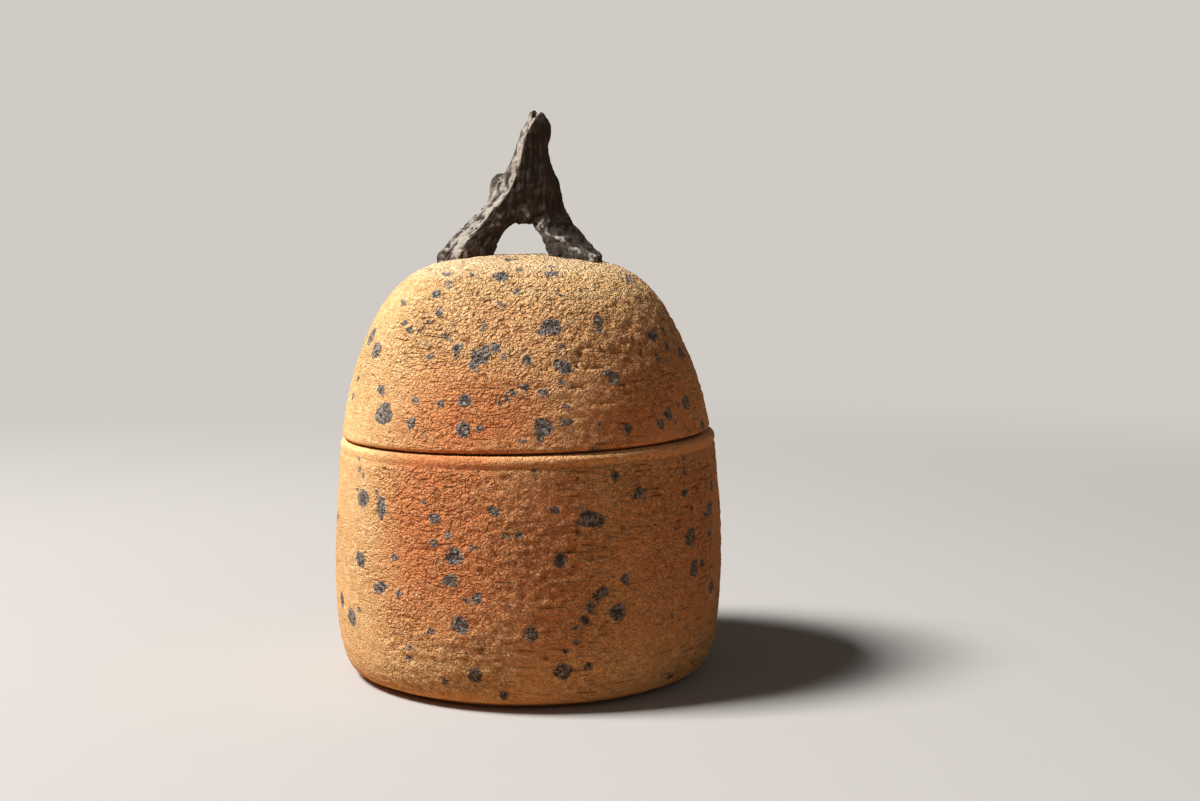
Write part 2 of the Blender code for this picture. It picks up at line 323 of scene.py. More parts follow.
@dataclass(frozen=True)
class FrontView:
    """The front camera: where it stands and how it looks down at the jar."""

    place: tuple[float, float, float] = (0.0296, -0.686, 0.184)
    look_down: float = math.radians(6.1)
    lens: float = 50.0
    sensor: float = 36.0
    picture_width: float = 1200.0
    picture_height: float = 801.0

    @property
    def points_per_length(self) -> float:
        """Picture points that a length takes up at its own distance from the camera."""
        return self.lens / self.sensor * self.picture_width

    def ray(self, x: float, y: float) -> tuple[Vector, Vector]:
        """Return the line of sight through a point of the picture.

        Args:
            x: Picture point from the left edge.
            y: Picture point from the top edge.

        Returns:
            The camera's place and the unit direction.
        """
        right = (x - 0.5 * self.picture_width) / self.points_per_length
        up = (0.5 * self.picture_height - y) / self.points_per_length
        tilt_cos, tilt_sin = math.cos(self.look_down), math.sin(self.look_down)
        direction = Vector((right, tilt_cos + up * tilt_sin, up * tilt_cos - tilt_sin))
        return Vector(self.place), direction.normalized()

    def add_camera(self) -> bpy.types.Object:
        """Stand the camera in its place and look through it.

        Returns:
            The camera.
        """
        deselect()
        turn = (0.5 * math.pi - self.look_down, 0.0, 0.0)
        bpy.ops.object.camera_add(location=self.place, rotation=turn)
        camera = bpy.context.object
        camera.name = "front_camera"
        camera.data.lens = self.lens
        camera.data.sensor_width = self.sensor
        camera.data.clip_start = 0.01
        bpy.context.scene.camera = camera
        return camera


FRONT = FrontView()


class Splash(NamedTuple):
    """A slip splash seen from the front: middle, width and height in picture points, lean in degrees."""

    x: float
    y: float
    wide: float
    tall: float
    lean: float = 0.0


LID_SPLASHES: tuple[Splash, ...] = (
    Splash(371, 336, 6, 20, 22), Splash(376, 350, 9, 17, 14), Splash(403, 302, 8, 6, 20),
    Splash(429, 269, 10, 2.5, 10), Splash(446, 274, 12, 5, 15), Splash(449, 282, 7, 4, 10),
    Splash(448, 288, 4, 3), Splash(437, 294, 11, 7, 20), Splash(473, 274, 7, 4, 10),
    Splash(501, 275, 17, 9, 5), Splash(511, 258, 14, 3), Splash(520, 268, 8, 3), Splash(517, 290, 7, 6),
    Splash(500, 303, 7, 5, 20), Splash(439, 312, 8, 9), Splash(429, 322, 6, 6, 20),
    Splash(404, 323, 6, 6), Splash(409, 329, 8, 7, 10), Splash(418, 331, 5, 4),
    Splash(446, 337, 11, 6, 25), Splash(426, 343, 4, 6), Splash(457, 347, 9, 9), Splash(483, 326, 4, 8),
    Splash(480, 356, 19, 17, 20), Splash(486, 350, 12, 7, 35), Splash(476, 362, 11, 7, 40),
    Splash(495, 347, 10, 8, 25), Splash(472, 366, 10, 6, 30), Splash(504, 356, 6, 6),
    Splash(527, 359, 12, 9), Splash(430, 356, 6, 6, 30), Splash(456, 356, 5, 4),
    Splash(381, 390, 9, 10, 25), Splash(358, 378, 2.5, 6), Splash(353, 396, 2.5, 9, 10),
    Splash(383, 416, 17, 17, 0), Splash(385, 408, 11, 12, 5), Splash(415, 400, 5, 6),
    Splash(441, 404, 6, 7), Splash(411, 424, 8, 12, 8), Splash(422, 433, 5, 5), Splash(465, 401, 13, 13),
    Splash(463, 430, 16, 17), Splash(480, 428, 7, 7), Splash(524, 387, 10, 9),
    Splash(513, 393, 10, 6, 35), Splash(507, 398, 9, 6, 30), Splash(500, 404, 8, 5, 20),
    Splash(522, 441, 8, 6, 15), Splash(551, 264, 12, 3), Splash(552, 271, 17, 6, -10),
    Splash(560, 294, 6, 6), Splash(630, 276, 13, 7, -30), Splash(552, 326, 22, 18, 10),
    Splash(540, 332, 9, 5, 10), Splash(600, 319, 10, 10), Splash(601, 328, 6, 10), Splash(563, 345, 6, 5),
    Splash(655, 334, 11, 12, -10), Splash(667, 330, 4, 6, -20), Splash(669, 346, 5, 9, -15),
    Splash(659, 357, 5, 10), Splash(684, 352, 7, 13, -10), Splash(563, 366, 22, 13, 35),
    Splash(614, 378, 12, 14), Splash(606, 373, 7, 5, -30), Splash(562, 382, 7, 6),
    Splash(543, 392, 13, 7, 5), Splash(566, 406, 7, 5), Splash(543, 427, 19, 18, 20),
    Splash(540, 438, 10, 8), Splash(567, 422, 14, 9), Splash(600, 424, 5, 5), Splash(628, 429, 10, 10),
    Splash(661, 424, 9, 12, 10), Splash(669, 414, 8, 14, 10), Splash(686, 402, 8, 15, -8),
    Splash(678, 404, 3, 6), Splash(676, 421, 3, 5), Splash(703, 424, 3.5, 12), Splash(595, 450, 10, 6),
    Splash(652, 412, 3, 4),
)

JAR_SPLASHES: tuple[Splash, ...] = (
    Splash(359, 456, 3, 5, 10), Splash(360, 466, 3, 5), Splash(363, 472, 3, 6),
    Splash(363, 496, 11, 18, -8), Splash(357, 487, 3, 5, -30), Splash(376, 489, 4, 5),
    Splash(381, 505, 10, 22, -4), Splash(338, 513, 2.5, 9), Splash(423, 501, 6, 6),
    Splash(434, 517, 10, 11), Splash(494, 510, 12, 10, 10), Splash(448, 534, 8, 7),
    Splash(434, 542, 8, 8), Splash(454, 555, 16, 19, 5), Splash(473, 548, 6, 7), Splash(438, 562, 6, 6),
    Splash(394, 556, 6, 7), Splash(361, 558, 10, 15, -5), Splash(380, 586, 14, 12, -15),
    Splash(398, 592, 5, 6), Splash(450, 580, 13, 14), Splash(477, 598, 11, 12), Splash(467, 600, 9, 5),
    Splash(342, 599, 4, 17, -8), Splash(359, 608, 4, 6), Splash(352, 616, 9, 18, -14),
    Splash(460, 625, 17, 16, 15), Splash(431, 631, 6, 7), Splash(410, 647, 5, 6),
    Splash(408, 657, 6, 7, -15), Splash(531, 634, 15, 15), Splash(475, 676, 15, 14),
    Splash(444, 681, 7, 8), Splash(504, 696, 9, 9), Splash(506, 536, 6, 6), Splash(518, 535, 7, 7),
    Splash(533, 472, 6, 6), Splash(616, 477, 9, 12), Splash(640, 495, 12, 13),
    Splash(645, 504, 3, 9, -15), Splash(634, 500, 6, 4, 30), Splash(592, 520, 27, 17, 12),
    Splash(583, 524, 14, 8, 10), Splash(555, 511, 9, 9), Splash(582, 537, 3, 4), Splash(561, 561, 15, 15),
    Splash(684, 461, 4, 4), Splash(684, 476, 3, 7), Splash(684, 495, 6, 8), Splash(672, 504, 3, 3),
    Splash(709, 511, 7, 15, 8), Splash(705, 516, 5, 5, 30), Splash(711, 489, 2.5, 10),
    Splash(690, 539, 11, 18, 4), Splash(709, 536, 4, 7), Splash(694, 570, 9, 18, 10),
    Splash(702, 565, 5, 8), Splash(711, 588, 6, 14, 8), Splash(625, 581, 9, 12),
    Splash(603, 593, 13, 11, 15), Splash(596, 598, 9, 6, 30), Splash(591, 608, 11, 11, 10),
    Splash(585, 621, 9, 10, 10), Splash(575, 629, 6, 5), Splash(576, 643, 8, 6, -10),
    Splash(566, 651, 8, 6), Splash(618, 613, 17, 17, 10), Splash(610, 613, 7, 5),
    Splash(563, 672, 20, 16), Splash(588, 667, 9, 9), Splash(671, 677, 8, 5), Splash(666, 590, 3, 3),
    Splash(672, 617, 3, 4), Splash(685, 628, 3, 5),
)


@dataclass(frozen=True)
class Patch:
    """A splash on the clay, in the piece's own frame: its middle, and its reach in two directions."""

    middle: np.ndarray
    across: np.ndarray
    along: np.ndarray
    half_across: float
    half_along: float


@dataclass(frozen=True)
class TurnedSkin:
    """The outer skin of a turned piece, for finding places on it.

    Fields:
        radius_at: Radius of the skin at a height above the piece's own base.
        low: Lowest height of the skin.
        high: Highest height of the skin.
        placing: Matrix from the piece's own frame to the part's frame.
        sight_from: Where the search along a line of sight starts.
        sight_to: Where it ends.
        sight_step: Its step.
        halvings: How often the step that meets the skin is halved.
        least_flat: Least share that a splash's width and height are foreshortened to.
        hidden_turns: Where the side that the front view doesn't show starts and ends, in degrees.
        fleck_size: Usual reach of a scattered splash, in millimetres.
        fleck_most: Greatest reach of one.
        fleck_spread: How much their reaches differ.
        fleck_stretch: Least and most that one is drawn out sideways.
        fleck_band: Where they start and end, in shares of the skin's height.
        slope_reach: Half the height that the skin's slope is read over.
    """

    radius_at: Callable[[float], float]
    low: float
    high: float
    placing: Matrix
    sight_from: float = 0.55
    sight_to: float = 0.80
    sight_step: float = 0.0005
    halvings: int = 18
    least_flat: tuple[float, float] = (0.30, 0.22)
    hidden_turns: tuple[float, float] = (84.0, 276.0)
    fleck_size: float = 0.95
    fleck_most: float = 4.2
    fleck_spread: float = 0.75
    fleck_stretch: tuple[float, float] = (0.75, 1.35)
    fleck_band: tuple[float, float] = (0.02, 0.985)
    slope_reach: float = 0.4 * MM

    def outside(self, place: Vector) -> float:
        """Return how far a place lies outside the skin, in the piece's own frame."""
        if place.z > self.high:
            return place.z - self.high
        return math.hypot(place.x, place.y) - self.radius_at(max(self.low, place.z))

    def seen_at(self, eye: Vector, sight: Vector) -> Vector | None:
        """Find where a line of sight meets the skin, in the piece's own frame.

        Args:
            eye: Where the line starts.
            sight: Its direction.

        Returns:
            The place, or None where the line misses the skin.
        """
        reach = self.sight_from
        while self.outside(eye + sight * reach) >= 0.0:
            reach += self.sight_step
            if reach >= self.sight_to:
                return None
        near, far = reach - self.sight_step, reach
        for _ in range(self.halvings):
            middle = 0.5 * (near + far)
            if self.outside(eye + sight * middle) < 0.0:
                far = middle
            else:
                near = middle
        return eye + sight * far

    def directions(self, place: Vector) -> tuple[Vector, Vector]:
        """Return the directions round and up the skin at a place.

        Args:
            place: A place on the skin, in the piece's own frame.

        Returns:
            Sideways and upward unit vectors.
        """
        away = Vector((place.x, place.y, 0.0)).normalized()
        low = max(self.low, place.z - self.slope_reach)
        high = min(self.high, place.z + self.slope_reach)
        rise = Vector((0.0, 0.0, high - low)) + away * (self.radius_at(high) - self.radius_at(low))
        return Vector((-away.y, away.x, 0.0)), rise.normalized()

    def laid(self, place: Vector, lean: float, half_across: float, half_along: float) -> Patch:
        """Lay a patch on the skin.

        Args:
            place: Its middle, in the piece's own frame.
            lean: How far it leans, in radians.
            half_across: Its reach sideways.
            half_along: Its reach upwards.

        Returns:
            The patch.
        """
        sideways, rise = self.directions(place)
        across = sideways * math.cos(lean) - rise * math.sin(lean)
        along = sideways * math.sin(lean) + rise * math.cos(lean)
        return Patch(np.array(place), np.array(across), np.array(along), half_across, half_along)

    def patch(self, splash: Splash) -> Patch | None:
        """Lay a splash that shows in the front view on the skin, undoing its foreshortening.

        Args:
            splash: The splash in picture points.

        Returns:
            The patch, or None where the line of sight misses the piece.
        """
        eye, sight = FRONT.ray(splash.x, splash.y)
        back = self.placing.inverted()
        eye, sight = back @ eye, back.to_3x3() @ sight
        place = self.seen_at(eye, sight)
        if place is None:
            return None
        half = 0.5 * (eye - place).length / FRONT.points_per_length
        flat_side, flat_rise = (
            max(least, math.sqrt(max(0.0, 1.0 - way.dot(sight) ** 2)))
            for way, least in zip(self.directions(place), self.least_flat)
        )
        lean = math.radians(splash.lean)
        return self.laid(place, lean, splash.wide * half / flat_side, splash.tall * half / flat_rise)

    def scattered(self, count: int, seed: int) -> list[Patch]:
        """Scatter splashes over the side that the front view doesn't show.

        Args:
            count: Number of splashes.
            seed: Seed of the draw.

        Returns:
            The patches.
        """
        draw = random.Random(seed)
        patches: list[Patch] = []
        while len(patches) < count:
            turn = math.radians(draw.uniform(*self.hidden_turns))
            height = self.low + (self.high - self.low) * draw.uniform(*self.fleck_band)
            radius = self.radius_at(height)
            growth = math.exp(abs(draw.gauss(0.0, self.fleck_spread)))
            size = min(self.fleck_most, self.fleck_size * growth) * MM
            stretch = draw.uniform(*self.fleck_stretch)
            lean = draw.uniform(-math.pi, math.pi)
            if draw.random() > radius / self.radius_at(self.low):
                continue
            place = Vector((radius * math.sin(turn), -radius * math.cos(turn), height))
            patches.append(self.laid(place, lean, size * stretch, size / stretch))
        return patches

    def splashed(self, splashes: Sequence[Splash], count: int, seed: int) -> list[Patch]:
        """Lay the splashes that show from the front, and scatter more behind.

        Args:
            splashes: The splashes in picture points.
            count: Number of splashes to scatter.
            seed: Seed of the draw.

        Returns:
            The patches.
        """
        seen = [patch for splash in splashes if (patch := self.patch(splash))]
        return seen + self.scattered(count, seed)


def splash_depth(places: np.ndarray, patches: Sequence[Patch]) -> np.ndarray:
    """Measure how deep inside a splash each point lies.

    Args:
        places: Points in the piece's own frame.
        patches: The splashes.

    Returns:
        Depth in millimetres, positive inside a splash and at least -3.
    """
    lobe_size, lobe_reach, margin = 2.8 * MM, 0.65 * MM, 4.0 * MM
    wander = np.column_stack([cloud(places / lobe_size, salt) for salt in (41, 42, 43)])
    ragged = places + lobe_reach * wander
    depth = np.full(len(places), NO_SPLASH)
    for patch in patches:
        reach = 2.0 * max(patch.half_across, patch.half_along) + margin
        near = np.nonzero(np.abs(places - patch.middle).max(axis=1) < reach)[0]
        if not len(near):
            continue
        offset = ragged[near] - patch.middle
        across = offset @ patch.across / patch.half_across
        along = offset @ patch.along / patch.half_along
        share = np.sqrt(across**2 + along**2)
        inside = (1.0 - share) * min(patch.half_across, patch.half_along) / MM
        depth[near] = np.maximum(depth[near], inside)
    return depth


@dataclass(frozen=True)
class Flush:
    """A patch flushed orange, by the fire and in places also as painted warm shade: turn from the front in
    degrees, height and spread.
    """

    turn: float
    height: float
    half_turn: float
    half_height: float
    strength: float


JAR_FLUSHES_AND_WARM_SHADE: tuple[Flush, ...] = (
    Flush(-29.0, 0.068, 14.0, 0.040, 1.00),
    Flush(-15.0, 0.066, 19.0, 0.042, 0.98),
    Flush(-22.0, 0.090, 20.0, 0.018, 1.00),
    Flush(4.0, 0.062, 24.0, 0.050, 0.70),
    # The patch at turn 58, on the side away from the key light, is partly the fire's flush and partly
    # painted warm shade.
    Flush(58.0, 0.060, 50.0, 0.060, 0.66),
    Flush(150.0, 0.060, 40.0, 0.030, 0.75),
    Flush(235.0, 0.085, 30.0, 0.022, 0.5),
)

LID_FLUSHES_AND_WARM_SHADE: tuple[Flush, ...] = (
    Flush(-13.0, 0.013, 27.0, 0.024, 0.88),
    Flush(2.0, 0.034, 38.0, 0.032, 0.50),
    # The patch at turn 46, on the side away from the key light, is partly the fire's flush and partly
    # painted warm shade.
    Flush(46.0, 0.018, 46.0, 0.040, 0.70),
    Flush(150.0, 0.022, 46.0, 0.022, 0.7),
    Flush(236.0, 0.010, 26.0, 0.012, 0.45),
)


def flush_share(places: np.ndarray, flushes: Sequence[Flush]) -> np.ndarray:
    """Find how strongly each point of a turned piece is flushed orange, by the fire and in places by
    painted warm shade.

    Args:
        places: Points in the piece's own frame.
        flushes: The patches.

    Returns:
        The strongest patch's share at each point, 0 to 1.
    """
    turn = np.degrees(np.arctan2(places[:, 0], -places[:, 1]))
    share = np.zeros(len(places))
    for flush in flushes:
        off = (turn - flush.turn + 180.0) % 360.0 - 180.0
        spread = (off / flush.half_turn) ** 2 + ((places[:, 2] - flush.height) / flush.half_height) ** 2
        share = np.maximum(share, flush.strength * np.exp(-FLUSH_FADE * spread))
    return share


@dataclass(frozen=True)
class GroggedRelief:
    """The torn, grainy surface of coarse clay, in metres."""

    smoothed_share: float = 0.52
    smoothed_front: tuple[float, float] = (-32.0, -62.0)
    smoothed_back: tuple[float, float] = (-150.0, -110.0)
    grain_size: float = 3.2 * MM
    grain_height: float = 0.20 * MM
    crumb_size: float = 3.8 * MM
    crumb_height: float = 0.30 * MM
    squat: float = 1.3
    tear_length: float = 8.5 * MM
    tear_squeeze: float = 6.0
    tear_depth: float = 0.38 * MM
    pit_spacing: float = 7.0 * MM
    pit_radius: float = 0.75 * MM
    pit_depth: float = 0.80 * MM
    pit_share: float = 0.4
    ring_spacing: float = 3.5 * MM
    ring_height: float = 0.16 * MM
    ring_wander: float = 18.0 * MM
    lopsided: float = 0.45 * MM
    lopsided_size: float = 45.0 * MM

    def smoothed(self, places: np.ndarray) -> np.ndarray:
        """Return how much of the coarseness the potter's hand has left, less on the left side."""
        turn = np.degrees(np.arctan2(places[:, 0], -places[:, 1]))
        side = ease(*self.smoothed_front, turn) * ease(*self.smoothed_back, turn)
        return 1.0 - self.smoothed_share * side

    def grain(self, places: np.ndarray) -> np.ndarray:
        """Return the height of the rounded grains at each point."""
        near, second, _ = cells(places * (1.0, 1.0, self.squat) / self.grain_size, salt=1)
        return self.grain_height * (np.minimum(second - near, 0.5) / 0.5 - 0.45)

    def crumb(self, places: np.ndarray) -> np.ndarray:
        """Return the height of the coarser crumbs at each point."""
        return self.crumb_height * cloud(places * (1.0, 1.0, self.squat) / self.crumb_size, salt=2)

    def tear(self, places: np.ndarray) -> np.ndarray:
        """Return the depth, below zero, of the level tears that turning drags in the clay."""
        drawn = cloud(places * (1.0, 1.0, self.tear_squeeze) / self.tear_length, salt=3)
        here = ease(0.05, 0.50, cloud(places / (3.0 * self.tear_length), salt=4))
        return -self.tear_depth * ease(0.30, 0.62, drawn) * here

    def pit(self, places: np.ndarray) -> np.ndarray:
        """Return the depth, below zero, of the small pits where grains have dropped out."""
        near, _, lot = cells(places / self.pit_spacing, salt=5)
        radius = self.pit_radius / self.pit_spacing * (0.5 + 0.9 * lot / self.pit_share)
        hole = ease(1.2, 0.35, near / radius)
        return np.where(lot < self.pit_share, -self.pit_depth * hole, 0.0)

    def ring(self, places: np.ndarray) -> np.ndarray:
        """Return the height of the throwing rings at each point."""
        level = places[:, 2] / self.ring_spacing + 0.7 * cloud(places / self.ring_wander, salt=6)
        return self.ring_height * cloud(np.column_stack([0.0 * level, 0.0 * level, level]) + 0.5, salt=7)

    def lean(self, places: np.ndarray) -> np.ndarray:
        """Return the slow hand-made swelling of the wall at each point."""
        return self.lopsided * cloud(places / self.lopsided_size, salt=8)

    def heights(self, places: np.ndarray, coarse: np.ndarray) -> tuple[np.ndarray, np.ndarray]:
        """Work out the relief over a skin.

        Args:
            places: Points in the piece's own frame.
            coarse: How torn the clay is at each point, 0 to 1.

        Returns:
            The height at each point, and the fine part of it in shares of a grain's height.
        """
        fine = (self.grain(places) + self.crumb(places) + self.tear(places) + self.pit(places)) * coarse
        return fine + self.ring(places) + self.lean(places), fine / self.grain_height


class Field:
    """A value in a node tree under work, with plain arithmetic that adds the nodes for it."""

    def __init__(self, sheet: "NodeSheet", socket: Any) -> None:
        """Hold one output of a sheet's nodes."""
        self.sheet = sheet
        self.socket = socket

    def __add__(self, other: Any) -> "Field":
        """Add a field or a number."""
        return self.sheet.math("ADD", self, other)

    def __sub__(self, other: Any) -> "Field":
        """Take away a field or a number."""
        return self.sheet.math("SUBTRACT", self, other)

    def __rsub__(self, other: float) -> "Field":
        """Take the field away from a number."""
        return self.sheet.math("SUBTRACT", other, self)

    def __mul__(self, other: Any) -> "Field":
        """Multiply by a field or a number."""
        return self.sheet.math("MULTIPLY", self, other)

    def beside(self, output: str) -> "Field":
        """Return another output of the same node."""
        return Field(self.sheet, self.socket.node.outputs[output])

    def ramp(self, low: float, high: float, start: float = 0.0, end: float = 1.0) -> "Field":
        """Map the value from low..high to start..end, eased and clamped."""
        inputs = {"Value": self, "From Min": low, "From Max": high, "To Min": start, "To Max": end}
        return self.sheet.add("MapRange", "Result", inputs, interpolation_type="SMOOTHSTEP")


class NodeSheet:
    """A node tree under work, with short ways to add nodes and join them."""

    def __init__(self, owner: Any) -> None:
        """Clear the tree of a material or a world."""
        owner.use_nodes = True
        self.owner = owner
        self.tree = owner.node_tree
        self.tree.nodes.clear()

    @cached_property
    def place(self) -> Field:
        """The piece's own coordinates."""
        return self.add("TexCoord", "Object", {})

    def put(self, socket: Any, value: Any) -> None:
        """Link a socket to a field, or set it to a plain value."""
        if isinstance(value, Field):
            self.tree.links.new(value.socket, socket)
        elif socket.type == "RGBA":
            socket.default_value = (*value, 1.0)
        else:
            socket.default_value = value

    def add(self, kind: str, output: Any, inputs: dict[Any, Any], **settings: Any) -> Field:
        """Add a node, set it up and feed it.

        Args:
            kind: The node's type, without its common beginning.
            output: Name or number of the output that is wanted.
            inputs: What goes into each input, by its name or number.
            settings: The node's own settings.

        Returns:
            The output.
        """
        node = self.tree.nodes.new("ShaderNode" + kind)
        for name, setting in settings.items():
            setattr(node, name, setting)
        for name, value in inputs.items():
            self.put(node.inputs[name], value)
        return Field(self, node.outputs[output])

    def close(self, kind: str, surface: Field) -> Any:
        """Join a shader to the tree's output node of a kind, and return what the tree belongs to."""
        self.put(self.tree.nodes.new("ShaderNode" + kind).inputs["Surface"], surface)
        return self.owner

    def finish(self, inputs: dict[str, Any]) -> bpy.types.Material:
        """Close a material with the plain shader and what goes into its inputs."""
        return self.close("OutputMaterial", self.add("BsdfPrincipled", "BSDF", inputs))

    def attribute(self, skin: Skin) -> Field:
        """Read a number that the piece's points carry."""
        return self.add("Attribute", "Fac", {}, attribute_name=skin.value)

    def math(self, operation: str, first: Any, second: Any = 0.0) -> Field:
        """Join numbers or fields by one operation."""
        return self.add("Math", "Value", {0: first, 1: second}, operation=operation)

    def stretched(self, scale: Scale, place: Field | None = None) -> Field:
        """Stretch coordinates, the piece's own or others, along each axis."""
        return self.add("Mapping", "Vector", {"Vector": place or self.place, "Scale": scale})

    def shaken(self, size: float, reach: float, scale: Scale) -> Field:
        """Shake the piece's coordinates by noise and then stretch them.

        Args:
            size: Size of the noise's clouds in metres.
            reach: How far a place is shaken, in metres.
            scale: Stretch along each axis.

        Returns:
            The coordinates.
        """
        noise = self.add("TexNoise", "Color", {"Vector": self.place, "Scale": 1.0 / size, "Detail": 1.0})
        inputs = {0: noise, 1: (reach, reach, reach), 2: self.place}
        return self.stretched(scale, self.add("VectorMath", "Vector", inputs, operation="MULTIPLY_ADD"))

    def cloud(
        self, size: float, detail: float = 3.0, rough: float = 0.5, place: Field | None = None
    ) -> Field:
        """Make cloudy noise, about 0 to 1, of a size in metres, with finer and weaker layers."""
        inputs = {"Vector": place or self.place, "Scale": 1.0 / size, "Detail": detail, "Roughness": rough}
        return self.add("TexNoise", "Fac", inputs)

    def cells(
        self, size: float, place: Field | None = None, measure: CellMeasure = CellMeasure.MIDDLE
    ) -> Field:
        """Measure scattered cells of a size in metres, each with its random colour beside it."""
        inputs = {"Vector": place or self.place, "Scale": 1.0 / size}
        return self.add("TexVoronoi", "Distance", inputs, feature=measure.value)

    def tears(self, spacing: float, length: float, width: float) -> Field:
        """Make thin level tears on the upright parts of a turned piece.

        Args:
            spacing: Height between the rows that tears lie on, in metres.
            length: Size of the noise that breaks a row into tears, in metres.
            width: Half the width of a tear, in metres.

        Returns:
            The tears' share, 1 along their middles.
        """
        x = self.add("SeparateXYZ", "X", {"Vector": self.place})
        level = x.beside("Z") * (1.0 / spacing) + self.cloud(16.0 * MM, 1.0) * 1.6
        row = self.math("ROUND", level)
        lane = self.add("CombineXYZ", "Vector", {"X": x, "Y": x.beside("Y"), "Z": row * (3.7 * length)})
        drawn = self.cloud(length, 1.0, 0.5, lane).ramp(0.55, 0.63)
        thin = self.math("ABSOLUTE", level - row).ramp(width / spacing, 0.25 * width / spacing)
        facing = self.add("SeparateXYZ", "Z", {"Vector": self.add("NewGeometry", "Normal", {})})
        return thin * drawn * facing.ramp(0.72, 0.50)

    def washed(self, colour: Any, *washes: tuple[Field, Any]) -> Any:
        """Lay washes over a colour, one after the other.

        Args:
            colour: The colour under them.
            washes: Share and colour of each wash.

        Returns:
            The colour with the washes on it.
        """
        for share, wash in washes:
            colour = self.add("Mix", 2, {"Factor": share, 6: colour, 7: wash}, data_type="RGBA")
        return colour

    def bump(self, height: Field, depth: float, strength: float) -> Field:
        """Turn a height of about 0 to 1, and its depth in metres, into the shader's surface bump."""
        return self.add("Bump", "Normal", {"Height": height, "Distance": depth, "Strength": strength})


